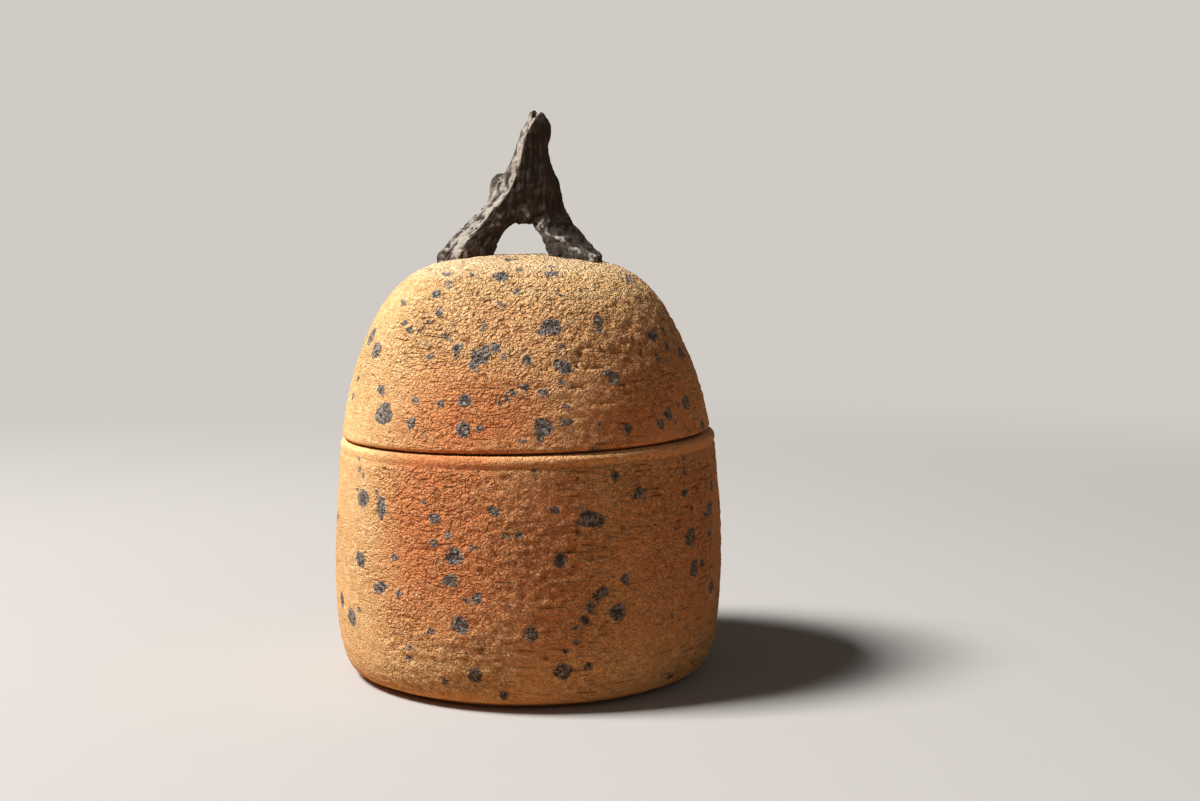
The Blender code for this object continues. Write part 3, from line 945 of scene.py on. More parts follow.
@dataclass(frozen=True)
class SpeckledStoneware:
    """Matte ochre clay with pale and dark grog, orange flushes and splashes of dark slip, with painted
    shade in its hollows, tears and pinholes.
    """

    pale: Colour = glaze_colour(247, 206, 149)
    ochre: Colour = glaze_colour(238, 184, 120)
    flushed: Colour = glaze_colour(226, 144, 89)
    bleached: Colour = glaze_colour(254, 221, 176)
    # Painted shade: the dark brown laid into hollows, gaps between grains, tears and pinholes, where shade
    # falls.
    painted_hollow_shade: Colour = glaze_colour(122, 66, 33)
    grog: Colour = glaze_colour(244, 208, 156)
    iron: Colour = glaze_colour(104, 64, 38)
    slip: Colour = glaze_colour(168, 156, 147)
    slip_dark: Colour = glaze_colour(58, 52, 47)
    roughness: float = 0.92
    specular: float = 0.22
    broad_size: float = 26.0 * MM
    brushed_size: float = 7.0 * MM
    brushed_scale: Scale = (1.0, 1.0, 5.0)
    patch_size: float = 4.5 * MM
    torn_size: float = 1.4 * MM
    grain_size: float = 0.75 * MM
    shake_size: float = 1.9 * MM
    shake_reach: float = 1.5 * MM
    shake_scale: Scale = (1.0, 1.0, 1.3)
    bead_size: float = 1.65 * MM
    fine_bead_size: float = 0.95 * MM
    spot_size: float = 1.15 * MM
    speck_size: float = 0.55 * MM
    pin_spacing: float = 3.4 * MM
    tear_spacing: float = 2.3 * MM
    tear_length: float = 11.0 * MM
    tear_width: float = 0.42 * MM
    bump_depth: float = 1.60 * MM

    def make(self, name: str) -> bpy.types.Material:
        """Build the material.

        Args:
            name: The material's name.

        Returns:
            The material.
        """
        sheet = NodeSheet(bpy.data.materials.new(name))
        skins = (Skin.SPLASH, Skin.FLUSH, Skin.RELIEF, Skin.COARSE)
        splash, flush, relief, coarse = (sheet.attribute(skin) for skin in skins)
        broad = sheet.cloud(self.broad_size)
        brushed = sheet.cloud(self.brushed_size, 3.0, 0.55, sheet.stretched(self.brushed_scale))
        patchy = sheet.cloud(self.patch_size, 5.0, 0.6)
        torn = sheet.cloud(self.torn_size, 4.0, 0.65)
        grain = sheet.cloud(self.grain_size, 3.0, 0.6)
        shaken = sheet.shaken(self.shake_size, self.shake_reach, self.shake_scale)
        spot = sheet.cells(self.spot_size)
        spot_tone = spot.beside("Color")
        speck = sheet.cells(self.speck_size)
        pin = sheet.cells(self.pin_spacing, shaken)

        bead_tone = sheet.cells(self.bead_size, shaken).beside("Color")
        proud = bead_tone.ramp(0.22, 0.30, -0.5, 0.4) + bead_tone.ramp(0.3, 0.8, 0.0, 0.6)
        large = sheet.cells(self.bead_size, shaken, CellMeasure.JOINT).ramp(0.0, 0.26) * proud
        fine_proud = sheet.cells(self.fine_bead_size, shaken).beside("Color").ramp(0.2, 0.8, 0.2, 0.8)
        small = sheet.cells(self.fine_bead_size, shaken, CellMeasure.JOINT).ramp(0.0, 0.28) * fine_proud
        rough = ((patchy - 0.5) * 1.6 + coarse).ramp(0.55, 0.92)
        beads = (large - small) * rough + small
        here = broad.ramp(0.40, 0.55) * coarse.ramp(0.42, 0.90)
        cracks = sheet.tears(self.tear_spacing, self.tear_length, self.tear_width) * here
        pinholes = pin.beside("Color").ramp(0.46, 0.40) * pin.ramp(0.15, 0.06)
        # Painted shade: darker in the gaps between grains, along the tears and in the pinholes.
        painted_gap_shade = beads.ramp(0.10, -0.45, 0.0, 0.46) * coarse + cracks * 0.48 + pinholes * 0.55

        tone = patchy * 0.68 + brushed * 0.32
        flame = flush + (broad - 0.5) * 0.5 + (patchy - 0.5) * 0.30
        spotted = spot_tone.ramp(0.72, 0.80) * spot.ramp(0.42, 0.25)
        dotted = speck.beside("Color").ramp(0.22, 0.16) * speck.ramp(0.40, 0.22)
        clay = sheet.washed(
            self.ochre,
            (tone.ramp(0.36, 0.66), self.pale),
            (flame.ramp(0.05, 1.0), self.flushed),
            (flame.ramp(-0.40, -0.95, 0.0, 0.75), self.bleached),
            # Painted shade in the relief's hollows, darker in the deeper ones.
            (relief.ramp(-0.6, -1.8, 0.0, 0.40), self.painted_hollow_shade),
            (relief.ramp(-1.8, -3.4, 0.0, 0.50), self.painted_hollow_shade),
            (relief.ramp(0.2, 0.9, 0.0, 0.20), self.grog),
            (painted_gap_shade, self.painted_hollow_shade),
            (spotted * 0.22, self.grog),
            (dotted * 0.6, self.iron),
        )
        fray = (torn - 0.5) * 2.4 + (beads - 0.45) * 0.8
        worn = spot_tone.ramp(0.80, 0.88) * spot.ramp(0.40, 0.28)
        cover = (splash + fray).ramp(-0.32, -0.04) * (1.0 - worn * 0.6)
        slip = sheet.washed(
            self.slip,
            (torn.ramp(0.60, 0.41, 0.0, 0.90), self.slip_dark),
            (grain.ramp(0.46, 0.32, 0.0, 0.7), self.slip_dark),
        )
        crumbs = beads - cracks * 0.9
        height = (torn * 0.55 + crumbs) * coarse + torn * 0.10 + grain * (coarse * 0.35 + 0.15)
        height = height + brushed * 0.20 - pinholes * 0.55
        return sheet.finish(
            {
                "Base Color": sheet.washed(clay, (cover, slip)),
                "Roughness": self.roughness,
                "Specular IOR Level": self.specular,
                "Normal": sheet.bump(height, self.bump_depth, 1.0),
            }
        )


@dataclass(frozen=True)
class CharredTwig:
    """Charcoal-grey clay like weathered wood: near black in the grain, ashen on what stands proud, with
    painted light on the faces turned to the key light and painted shade in the hollows and on the faces
    turned away.
    """

    char: Colour = glaze_colour(46, 39, 34)
    brown: Colour = glaze_colour(76, 60, 47)
    grey: Colour = glaze_colour(106, 99, 92)
    # Pale grey of the ash and of the painted light on faces turned to the key light.
    ash_and_painted_light: Colour = glaze_colour(172, 162, 150)
    roughness: float = 0.9
    specular: float = 0.25
    fibre_size: float = 1.3 * MM
    fibre_scale: Scale = (1.0, 1.0, 0.16)
    broad_size: float = 7.0 * MM
    grain_size: float = 0.55 * MM
    bump_depth: float = 0.4 * MM

    def make(self, name: str) -> bpy.types.Material:
        """Build the material.

        Args:
            name: The material's name.

        Returns:
            The material.
        """
        sheet = NodeSheet(bpy.data.materials.new(name))
        ash_and_painted_light = sheet.attribute(Skin.ASH)
        relief = sheet.attribute(Skin.RELIEF)
        fibres = sheet.cloud(self.fibre_size, 4.0, 0.6, sheet.stretched(self.fibre_scale))
        broad = sheet.cloud(self.broad_size)
        grain = sheet.cloud(self.grain_size, 4.0, 0.65)
        painted_light_and_ash = ash_and_painted_light + (grain - 0.5) * 1.15 + relief * 0.32
        wood = sheet.washed(
            self.char,
            (fibres.ramp(0.40, 0.66), self.brown),
            (broad.ramp(0.45, 0.75, 0.0, 0.6), self.grey),
            (painted_light_and_ash.ramp(0.25, 0.75), self.grey),
            (painted_light_and_ash.ramp(0.62, 1.15, 0.0, 0.9), self.ash_and_painted_light),
            # Painted shade: darker in the bark's hollows and on the faces turned away from the key light.
            (relief.ramp(-0.3, -1.2, 0.0, 0.70), self.char),
            (painted_light_and_ash.ramp(-0.05, -0.60, 0.0, 0.85), self.char),
        )
        return sheet.finish(
            {
                "Base Color": wood,
                "Roughness": self.roughness,
                "Specular IOR Level": self.specular,
                "Normal": sheet.bump(fibres * 0.8 + grain, self.bump_depth, 0.9),
            }
        )


@dataclass
class StonewareJar:
    """The jar: a slightly barrelled wall on a bevelled foot, with a smooth round lip."""

    belly_radius: float = 0.0800
    belly_height: float = 0.0420
    rim_height: float = 0.0978
    rim_draw_in: float = 0.0035
    base_draw_in: float = 0.0090
    base_edge_height: float = 0.0027
    foot_undercut: float = 0.0055
    wall: float = 0.0065
    floor_thickness: float = 0.0080
    floor_fillet: float = 0.0120
    lip_round: float = 0.0018
    shoulder_power: float = 1.7
    base_power: float = 2.2
    rim_tilt: float = math.radians(1.1)
    lip_bead: float = 0.30 * MM
    lip_bead_drop: float = 2.1 * MM
    lip_bead_half: float = 1.4 * MM
    lip_groove: float = 0.42 * MM
    lip_groove_drop: float = 4.5 * MM
    lip_groove_half: float = 0.7 * MM
    lip_smooth: tuple[float, float] = (3.6 * MM, 5.6 * MM)
    foot_smooth: tuple[float, float] = (0.5 * MM, 9.0 * MM)
    foot_pale: tuple[float, float] = (30.0 * MM, 8.0 * MM)
    spiral_pitch: float = 11.0 * MM
    columns: int = 600
    outer_rows: int = 110
    inner_rows: int = 28
    scattered_splashes: int = 84

    def radius_at(self, height: float) -> float:
        """Return the outer radius at a height.

        Args:
            height: Height above the foot.

        Returns:
            The radius.
        """
        if height >= self.belly_height:
            share = (height - self.belly_height) / (self.rim_height - self.belly_height)
            return self.belly_radius - self.rim_draw_in * share**self.shoulder_power
        share = min(1.0, (self.belly_height - height) / (self.belly_height - self.base_edge_height))
        girth = (1.0 - share**self.base_power) ** (1.0 / self.base_power)
        return self.belly_radius - self.base_draw_in * (1.0 - girth)

    def section(self) -> Profile:
        """Return the section: floor, inner wall, lip, outer wall, bevelled foot and underside."""
        lip_height = self.rim_height - self.lip_round
        lip_radius = self.radius_at(lip_height)
        fillet_height = self.floor_thickness + self.floor_fillet
        fillet_radius = self.radius_at(fillet_height) - self.wall - self.floor_fillet
        section: Profile = [(0.0, self.floor_thickness)]
        section += [(fillet_radius * share, self.floor_thickness) for share in (0.12, 0.35, 0.65)]
        section += arc((fillet_radius, fillet_height), self.floor_fillet, -90.0, 0.0, 5)
        for step in range(1, self.inner_rows):
            height = fillet_height + (lip_height - fillet_height) * step / self.inner_rows
            section.append((self.radius_at(height) - self.wall, height))
        inner_lip = (lip_radius - self.wall + self.lip_round, lip_height)
        section += arc(inner_lip, self.lip_round, 180.0, 90.0, 4)
        section += arc((lip_radius - self.lip_round, lip_height), self.lip_round, 90.0, 0.0, 5)
        heights = np.linspace(lip_height, self.base_edge_height, 400)
        section += spaced([(self.radius_at(h), h) for h in heights], self.outer_rows)[1:]
        base_radius = self.radius_at(self.base_edge_height)
        foot_radius = base_radius - self.foot_undercut
        section += spaced([(base_radius, self.base_edge_height), (foot_radius, 0.0)], 5)[1:]
        section += [(foot_radius * share, 0.0) for share in (0.985, 0.6, 0.25, 0.0)]
        return section

    def tilt(self, places: np.ndarray) -> np.ndarray:
        """Slope the rim: the foot stays level and the rim leans with the seam."""
        sloped = places.copy()
        sloped[:, 2] += places[:, 0] * math.tan(self.rim_tilt) * places[:, 2] / self.rim_height
        return sloped

    def spiral(self, places: np.ndarray) -> np.ndarray:
        """Return the height of the throwing spiral on the inner wall at each point."""
        turns = places[:, 2] / self.spiral_pitch + np.arctan2(places[:, 1], places[:, 0]) / FULL_TURN
        wave = np.sin(FULL_TURN * (turns + 0.25 * cloud(places / (30.0 * MM), salt=52)))
        depth = (0.34 + 0.30 * cloud(places / (26.0 * MM), salt=54)) * MM
        wall = ease(0.45, 0.70, np.hypot(places[:, 0], places[:, 1]) / self.belly_radius)
        return wave * depth * wall * ease(9.0 * MM, 18.0 * MM, self.rim_height - places[:, 2])

    def build(self, clay: bpy.types.Material) -> bpy.types.Object:
        """Throw the jar, roughen its clay, lay its splashes and put it on its body.

        Args:
            clay: The finish.

        Returns:
            The finished jar.
        """
        jar = throw("stoneware_jar", self.section(), self.columns)
        places = rows_of(jar, "co")
        radius = np.hypot(places[:, 0], places[:, 1])
        height = places[:, 2]
        levels = np.linspace(self.base_edge_height, self.rim_height, 500)
        skin_radius = np.interp(height, levels, [self.radius_at(level) for level in levels])
        outside = (radius > skin_radius - 1.2 * MM) & (height > 0.5 * self.base_edge_height)
        inside = ~outside & (height > self.floor_thickness - 0.5 * MM)
        below_rim = self.rim_height - height

        clod = GroggedRelief()
        coarse = (0.42 + 0.58 * ease(*self.lip_smooth, below_rim)) * ease(*self.foot_smooth, height)
        coarse *= (1.0 + 0.45 * cloud(places / (24.0 * MM), salt=51)) * clod.smoothed(places)
        relief, fine = clod.heights(places, coarse)
        torn_edge = below_rim + 0.7 * MM * cloud(places / (5.0 * MM), salt=53)
        lip = self.lip_bead * bump_at(self.lip_bead_drop, self.lip_bead_half, below_rim)
        lip -= self.lip_groove * bump_at(self.lip_groove_drop, self.lip_groove_half, torn_edge)
        shift = relief * ease(0.0, 3.0 * MM, height) + lip * ease(0.0, 0.8 * MM, below_rim)
        shift = np.where(outside, shift, np.where(inside, self.spiral(places), 0.0))
        moved = places + rows_of(jar, "normal") * shift[:, None]

        skin = TurnedSkin(self.radius_at, self.base_edge_height, self.rim_height, Matrix.Identity(4))
        patches = skin.splashed(JAR_SPLASHES, self.scattered_splashes, seed=11)
        flush = flush_share(places, JAR_FLUSHES_AND_WARM_SHADE) - 0.35 * ease(*self.foot_pale, height)
        store_clay(jar, outside, splash_depth(places, patches), flush, fine, coarse)
        move_points(jar, self.tilt(moved))
        dress(jar, clay)
        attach(jar, Body.JAR.value)
        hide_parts("jar_body")
        return jar


@dataclass
class DomedLid:
    """The lid: a dome that sits on the rim, a locating ring inside it, both leaning with the seam."""

    radius: float = 0.0757
    height: float = 0.0727
    wall: float = 0.0060
    edge_round: float = 0.0012
    edge_lift: float = 0.0009
    edge_undercut: float = 0.0034
    taper: float = 0.156
    height_power: float = 2.65
    round_power: float = 4.0
    seat_height: float = 0.0981
    tilt: float = math.radians(1.1)
    set_off: float = -0.7 * MM
    ring_radius: float = 0.0688
    ring_drop: float = 0.0090
    ring_lap: float = 0.0110
    ring_thickness: float = 0.0045
    ring_round: float = 0.0010
    seat_gap: float = 0.3 * MM
    sag_depth: float = 1.6 * MM
    sag_turn: float = math.radians(90.0)
    sag_heights: tuple[float, float] = (12.0 * MM, 46.0 * MM)
    sag_radii: tuple[float, float] = (6.0 * MM, 30.0 * MM)
    edge_smooth: tuple[float, float] = (0.8 * MM, 3.0 * MM)
    shoulder_coarse: tuple[float, float] = (14.0 * MM, 38.0 * MM)
    crown_pale: tuple[float, float] = (54.0 * MM, 70.0 * MM)
    columns: int = 600
    outer_rows: int = 132
    inner_rows: int = 13
    ring_columns: int = 240
    scattered_splashes: int = 84

    @property
    def placing(self) -> Matrix:
        """Matrix from the lid's own frame to the part's frame."""
        seat = Matrix.Translation((self.set_off, 0.0, self.seat_height))
        return seat @ Matrix.Rotation(-self.tilt, 4, "Y")

    def dome(self, inset: float) -> np.ndarray:
        """Lay a dome's curve from its crown to its rim.

        Args:
            inset: How far inside the outer dome it lies.

        Returns:
            Rows of r and z, falling.
        """
        angles = 0.5 * math.pi * (1.0 - np.linspace(0.0, 1.0, 700) ** 1.5)
        rise = np.sin(angles) ** (2.0 / self.height_power)
        girth = np.maximum(0.0, np.cos(angles)) ** (2.0 / self.round_power)
        girth[0] = 0.0
        radius, height = self.radius - inset, self.height - inset
        return np.column_stack([radius * (1.0 - self.taper * rise) * girth, height * rise])

    def radius_on(self, curve: np.ndarray, height: Any) -> Any:
        """Return the radius of a falling curve at a height."""
        return np.interp(height, curve[::-1, 1], curve[::-1, 0])

    def height_at(self, places: np.ndarray) -> np.ndarray:
        """Return the height of the outer dome, with its sag, over or under each point."""
        curve = self.dome(0.0)
        height = np.interp(np.hypot(places[:, 0], places[:, 1]), curve[:, 0], curve[:, 1])
        return height - self.sag(places, height)

    def sag(self, places: np.ndarray, height: np.ndarray) -> np.ndarray:
        """Return how far the hand-thrown dome sinks in on its right shoulder.

        Args:
            places: Points in the lid's own frame.
            height: Height of the skin at each point.

        Returns:
            The depth below the true dome at each point.
        """
        turn = np.arctan2(places[:, 0], -places[:, 1])
        side = (0.5 + 0.5 * np.cos(turn - self.sag_turn)) ** 1.3
        radius = np.hypot(places[:, 0], places[:, 1])
        side *= ease(*self.sag_heights, height) * ease(*self.sag_radii, radius)
        return self.sag_depth * side

    def section(self) -> Profile:
        """Return the dome's section: crown, outer dome, round edge and inner dome."""
        outer_curve, inner_curve = self.dome(0.0), self.dome(self.wall)
        lip = self.edge_lift + self.edge_round
        outer_edge = self.radius_on(outer_curve, lip)
        inner_edge = self.radius_on(inner_curve, self.edge_round)
        section = [p for p in spaced(outer_curve, self.outer_rows) if p[1] > lip]
        section += arc((outer_edge - self.edge_round, lip), self.edge_round, 0.0, -80.0, 4)
        section.append((outer_edge - self.edge_undercut, 0.0))
        section += arc((inner_edge + self.edge_round, self.edge_round), self.edge_round, -90.0, -180.0, 3)
        section += [p for p in spaced(inner_curve, self.inner_rows) if p[1] > self.edge_round][::-1]
        return section

    def ring_section(self) -> Profile:
        """Return the locating ring's closed section: it hugs the dome's inside and drops into the mouth."""
        inner_curve = self.dome(self.wall)
        heights = np.linspace(self.ring_lap, 0.0, 5)
        hug = [(min(self.ring_radius, self.radius_on(inner_curve, h) - self.seat_gap), h) for h in heights]
        inside = hug[0][0] - self.ring_thickness
        foot = self.ring_round - self.ring_drop
        section = hug
        section += spaced([(self.ring_radius, 0.0), (self.ring_radius, foot)], 5)[1:-1]
        section += arc((self.ring_radius - self.ring_round, foot), self.ring_round, 0.0, -90.0, 4)
        section += arc((inside + self.ring_round, foot), self.ring_round, -90.0, -180.0, 4)
        section += spaced([(inside, foot), (inside, self.ring_lap)], 12)[1:]
        section.append(hug[0])
        return section

    def build_dome(self, clay: bpy.types.Material) -> bpy.types.Object:
        """Throw the dome, roughen its clay, lay its splashes and put it on its body.

        Args:
            clay: The finish.

        Returns:
            The finished dome.
        """
        dome = throw("domed_lid", self.section(), self.columns)
        places = rows_of(dome, "co")
        radius = np.hypot(places[:, 0], places[:, 1])
        height = places[:, 2]
        outside = radius > self.radius_on(self.dome(0.5 * self.wall), height)
        outside |= height > self.height - 0.5 * self.wall

        clod = GroggedRelief()
        coarse = 0.6 + 0.4 * ease(*self.edge_smooth, height)
        coarse *= 0.80 + 0.40 * ease(*self.shoulder_coarse, height)
        coarse *= (1.0 + 0.4 * cloud(places / (22.0 * MM), salt=61)) * clod.smoothed(places)
        coarse *= ease(0.0, 4.0 * MM, radius)
        relief, fine = clod.heights(places, coarse)
        level = ease(0.0, 1.5 * MM, height) * ease(0.0, 10.0 * MM, radius)
        shift = np.where(outside, relief * level - self.sag(places, height), 0.0)
        inner_ring = cloud(places * (0.0, 0.0, 1.0) / (4.5 * MM) + 0.7, salt=62)
        shift = np.where(~outside & (height > self.ring_lap + 2.0 * MM), 0.2 * MM * inner_ring, shift)
        moved = places + rows_of(dome, "normal") * shift[:, None]

        curve = self.dome(0.0)
        skin = TurnedSkin(lambda h: float(self.radius_on(curve, h)), 0.0, self.height, self.placing)
        patches = skin.splashed(LID_SPLASHES, self.scattered_splashes, seed=23)
        flush = flush_share(places, LID_FLUSHES_AND_WARM_SHADE) - 0.9 * ease(*self.crown_pale, height)
        store_clay(dome, outside, splash_depth(places, patches), flush, fine, coarse)
        move_points(dome, moved)
        dome.data.transform(self.placing)
        dress(dome, clay)
        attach(dome, Body.LID.value)
        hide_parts("lid_dome")
        return dome

    def build_ring(self, clay: bpy.types.Material) -> bpy.types.Object:
        """Throw the locating ring and put it on its body.

        Args:
            clay: The finish.

        Returns:
            The finished ring.
        """
        ring = throw("lid_locating_ring", self.ring_section(), self.ring_columns)
        places = rows_of(ring, "co")
        wave = cloud(places * (1.0, 1.0, 3.0) / (9.0 * MM), salt=71)
        radius = np.hypot(places[:, 0], places[:, 1])
        free = ease(self.ring_radius + 0.4 * MM, self.ring_radius - 1.0 * MM, radius)
        move_points(ring, places + rows_of(ring, "normal") * (0.15 * MM * wave * free)[:, None])
        store_clay(ring, np.zeros(len(places), dtype=bool), 0.0, 0.0, 0.0, 0.0)
        ring.data.transform(self.placing)
        dress(ring, clay)
        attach(ring, Body.LID.value)
        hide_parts("lid_flange")
        return ring


class Station(NamedTuple):
    """A level cut through a limb of the twig, in millimetres from the crown.

    Fields:
        rise: Height above the crown.
        left: Where its left edge stands.
        ridge: Where its front ridge stands.
        right: Where its right edge stands.
        back: How far its middle is set back.
        depth: Half its thickness from front to back.
        cheek: How far its left edge is behind its front, in shares of depth.
        brow: How far its right shoulder is behind its front, in shares of depth.
    """

    rise: float
    left: float
    ridge: float
    right: float
    back: float
    depth: float
    cheek: float = 1.1
    brow: float = 0.35


STEM: tuple[Station, ...] = (
    Station(57.6, 4.6, 5.0, 6.6, 0.2, 1.4),
    Station(56.6, 3.2, 4.2, 7.6, 0.2, 2.6),
    Station(55.0, 0.8, 3.2, 8.7, 0.0, 3.6),
    Station(52.2, -1.5, 1.6, 9.8, 0.0, 4.2),
    Station(49.6, -3.0, 0.2, 9.7, 0.0, 4.4),
    Station(43.7, -4.8, -1.6, 8.6, 0.0, 4.6),
    Station(38.1, -7.0, -2.6, 9.4, 0.0, 4.8),
    Station(32.1, -10.3, -4.2, 12.2, 0.0, 5.1),
    Station(27.3, -13.0, -6.2, 13.8, 0.0, 5.3),
    Station(22.6, -15.6, -9.4, 14.6, -0.3, 5.4),
    Station(18.6, -18.8, -13.6, 15.4, -0.6, 5.2),
    Station(15.8, -22.2, -15.6, 16.9, -1.0, 5.0),
    Station(13.0, -25.4, -17.6, 18.2, -1.6, 4.6),
)

TIP: tuple[Station, ...] = (
    Station(58.7, 1.8, 2.4, 3.4, -0.8, 0.9),
    Station(57.2, 0.7, 2.1, 4.2, -0.8, 1.8),
    Station(53.0, -0.6, 1.4, 5.0, -0.6, 2.6),
    Station(49.0, -1.6, 0.0, 4.6, -0.4, 3.0),
)

LEFT_LEG: tuple[Station, ...] = (
    Station(21.0, -16.6, -11.4, -3.5, -0.2, 4.8),
    Station(15.8, -22.4, -15.6, -4.5, -1.0, 5.2),
    Station(12.4, -26.0, -18.2, -6.4, -2.0, 5.5),
    Station(8.8, -29.6, -21.0, -9.6, -3.2, 5.7),
    Station(4.8, -33.2, -24.6, -11.9, -4.6, 5.8),
    Station(1.6, -36.0, -26.4, -13.4, -5.4, 5.8),
    Station(-1.0, -37.0, -27.4, -14.4, -5.8, 5.8),
    Station(-5.0, -36.8, -28.5, -15.6, -6.2, 5.6),
)

RIGHT_LEG: tuple[Station, ...] = (
    Station(21.0, 2.4, 9.0, 14.2, 0.6, 2.4),
    Station(16.0, 1.6, 7.0, 17.4, 0.4, 4.0, 0.6, 0.6),
    Station(12.4, 2.0, 6.6, 19.6, -0.8, 5.2, 0.5, 0.9),
    Station(9.6, 4.0, 8.6, 22.0, -2.0, 6.0, 0.4, 1.0),
    Station(7.2, 5.6, 13.0, 24.2, -3.2, 6.6, 0.3, 1.0),
    Station(3.6, 7.2, 18.6, 27.2, -4.8, 7.2, 0.25, 1.0),
    Station(1.4, 8.0, 23.0, 29.3, -6.2, 7.4, 0.25, 1.0),
    Station(-0.6, 9.2, 27.4, 30.7, -7.6, 7.4, 0.25, 1.0),
    Station(-5.0, 10.6, 28.0, 30.6, -8.8, 7.0, 0.25, 1.0),
)

KNOT: tuple[Station, ...] = (
    Station(33.0, -13.2, -11.4, -8.4, 2.8, 1.6),
    Station(31.4, -14.8, -11.0, -5.0, 2.8, 2.4),
    Station(28.0, -16.0, -11.0, -4.0, 2.8, 2.9),
    Station(25.0, -16.0, -11.6, -4.0, 2.4, 3.2),
    Station(21.0, -17.0, -12.6, -5.0, 1.6, 3.4),
)

SNAG: tuple[Station, ...] = (
    Station(45.6, 2.6, 4.2, 5.8, 13.4, 1.5),
    Station(43.5, 1.8, 4.0, 6.6, 12.4, 2.4),
    Station(38.0, 1.2, 4.0, 7.2, 9.4, 2.8),
    Station(32.0, 0.6, 4.0, 7.8, 5.6, 3.2),
    Station(26.0, 0.2, 4.0, 8.2, 2.0, 3.4),
)


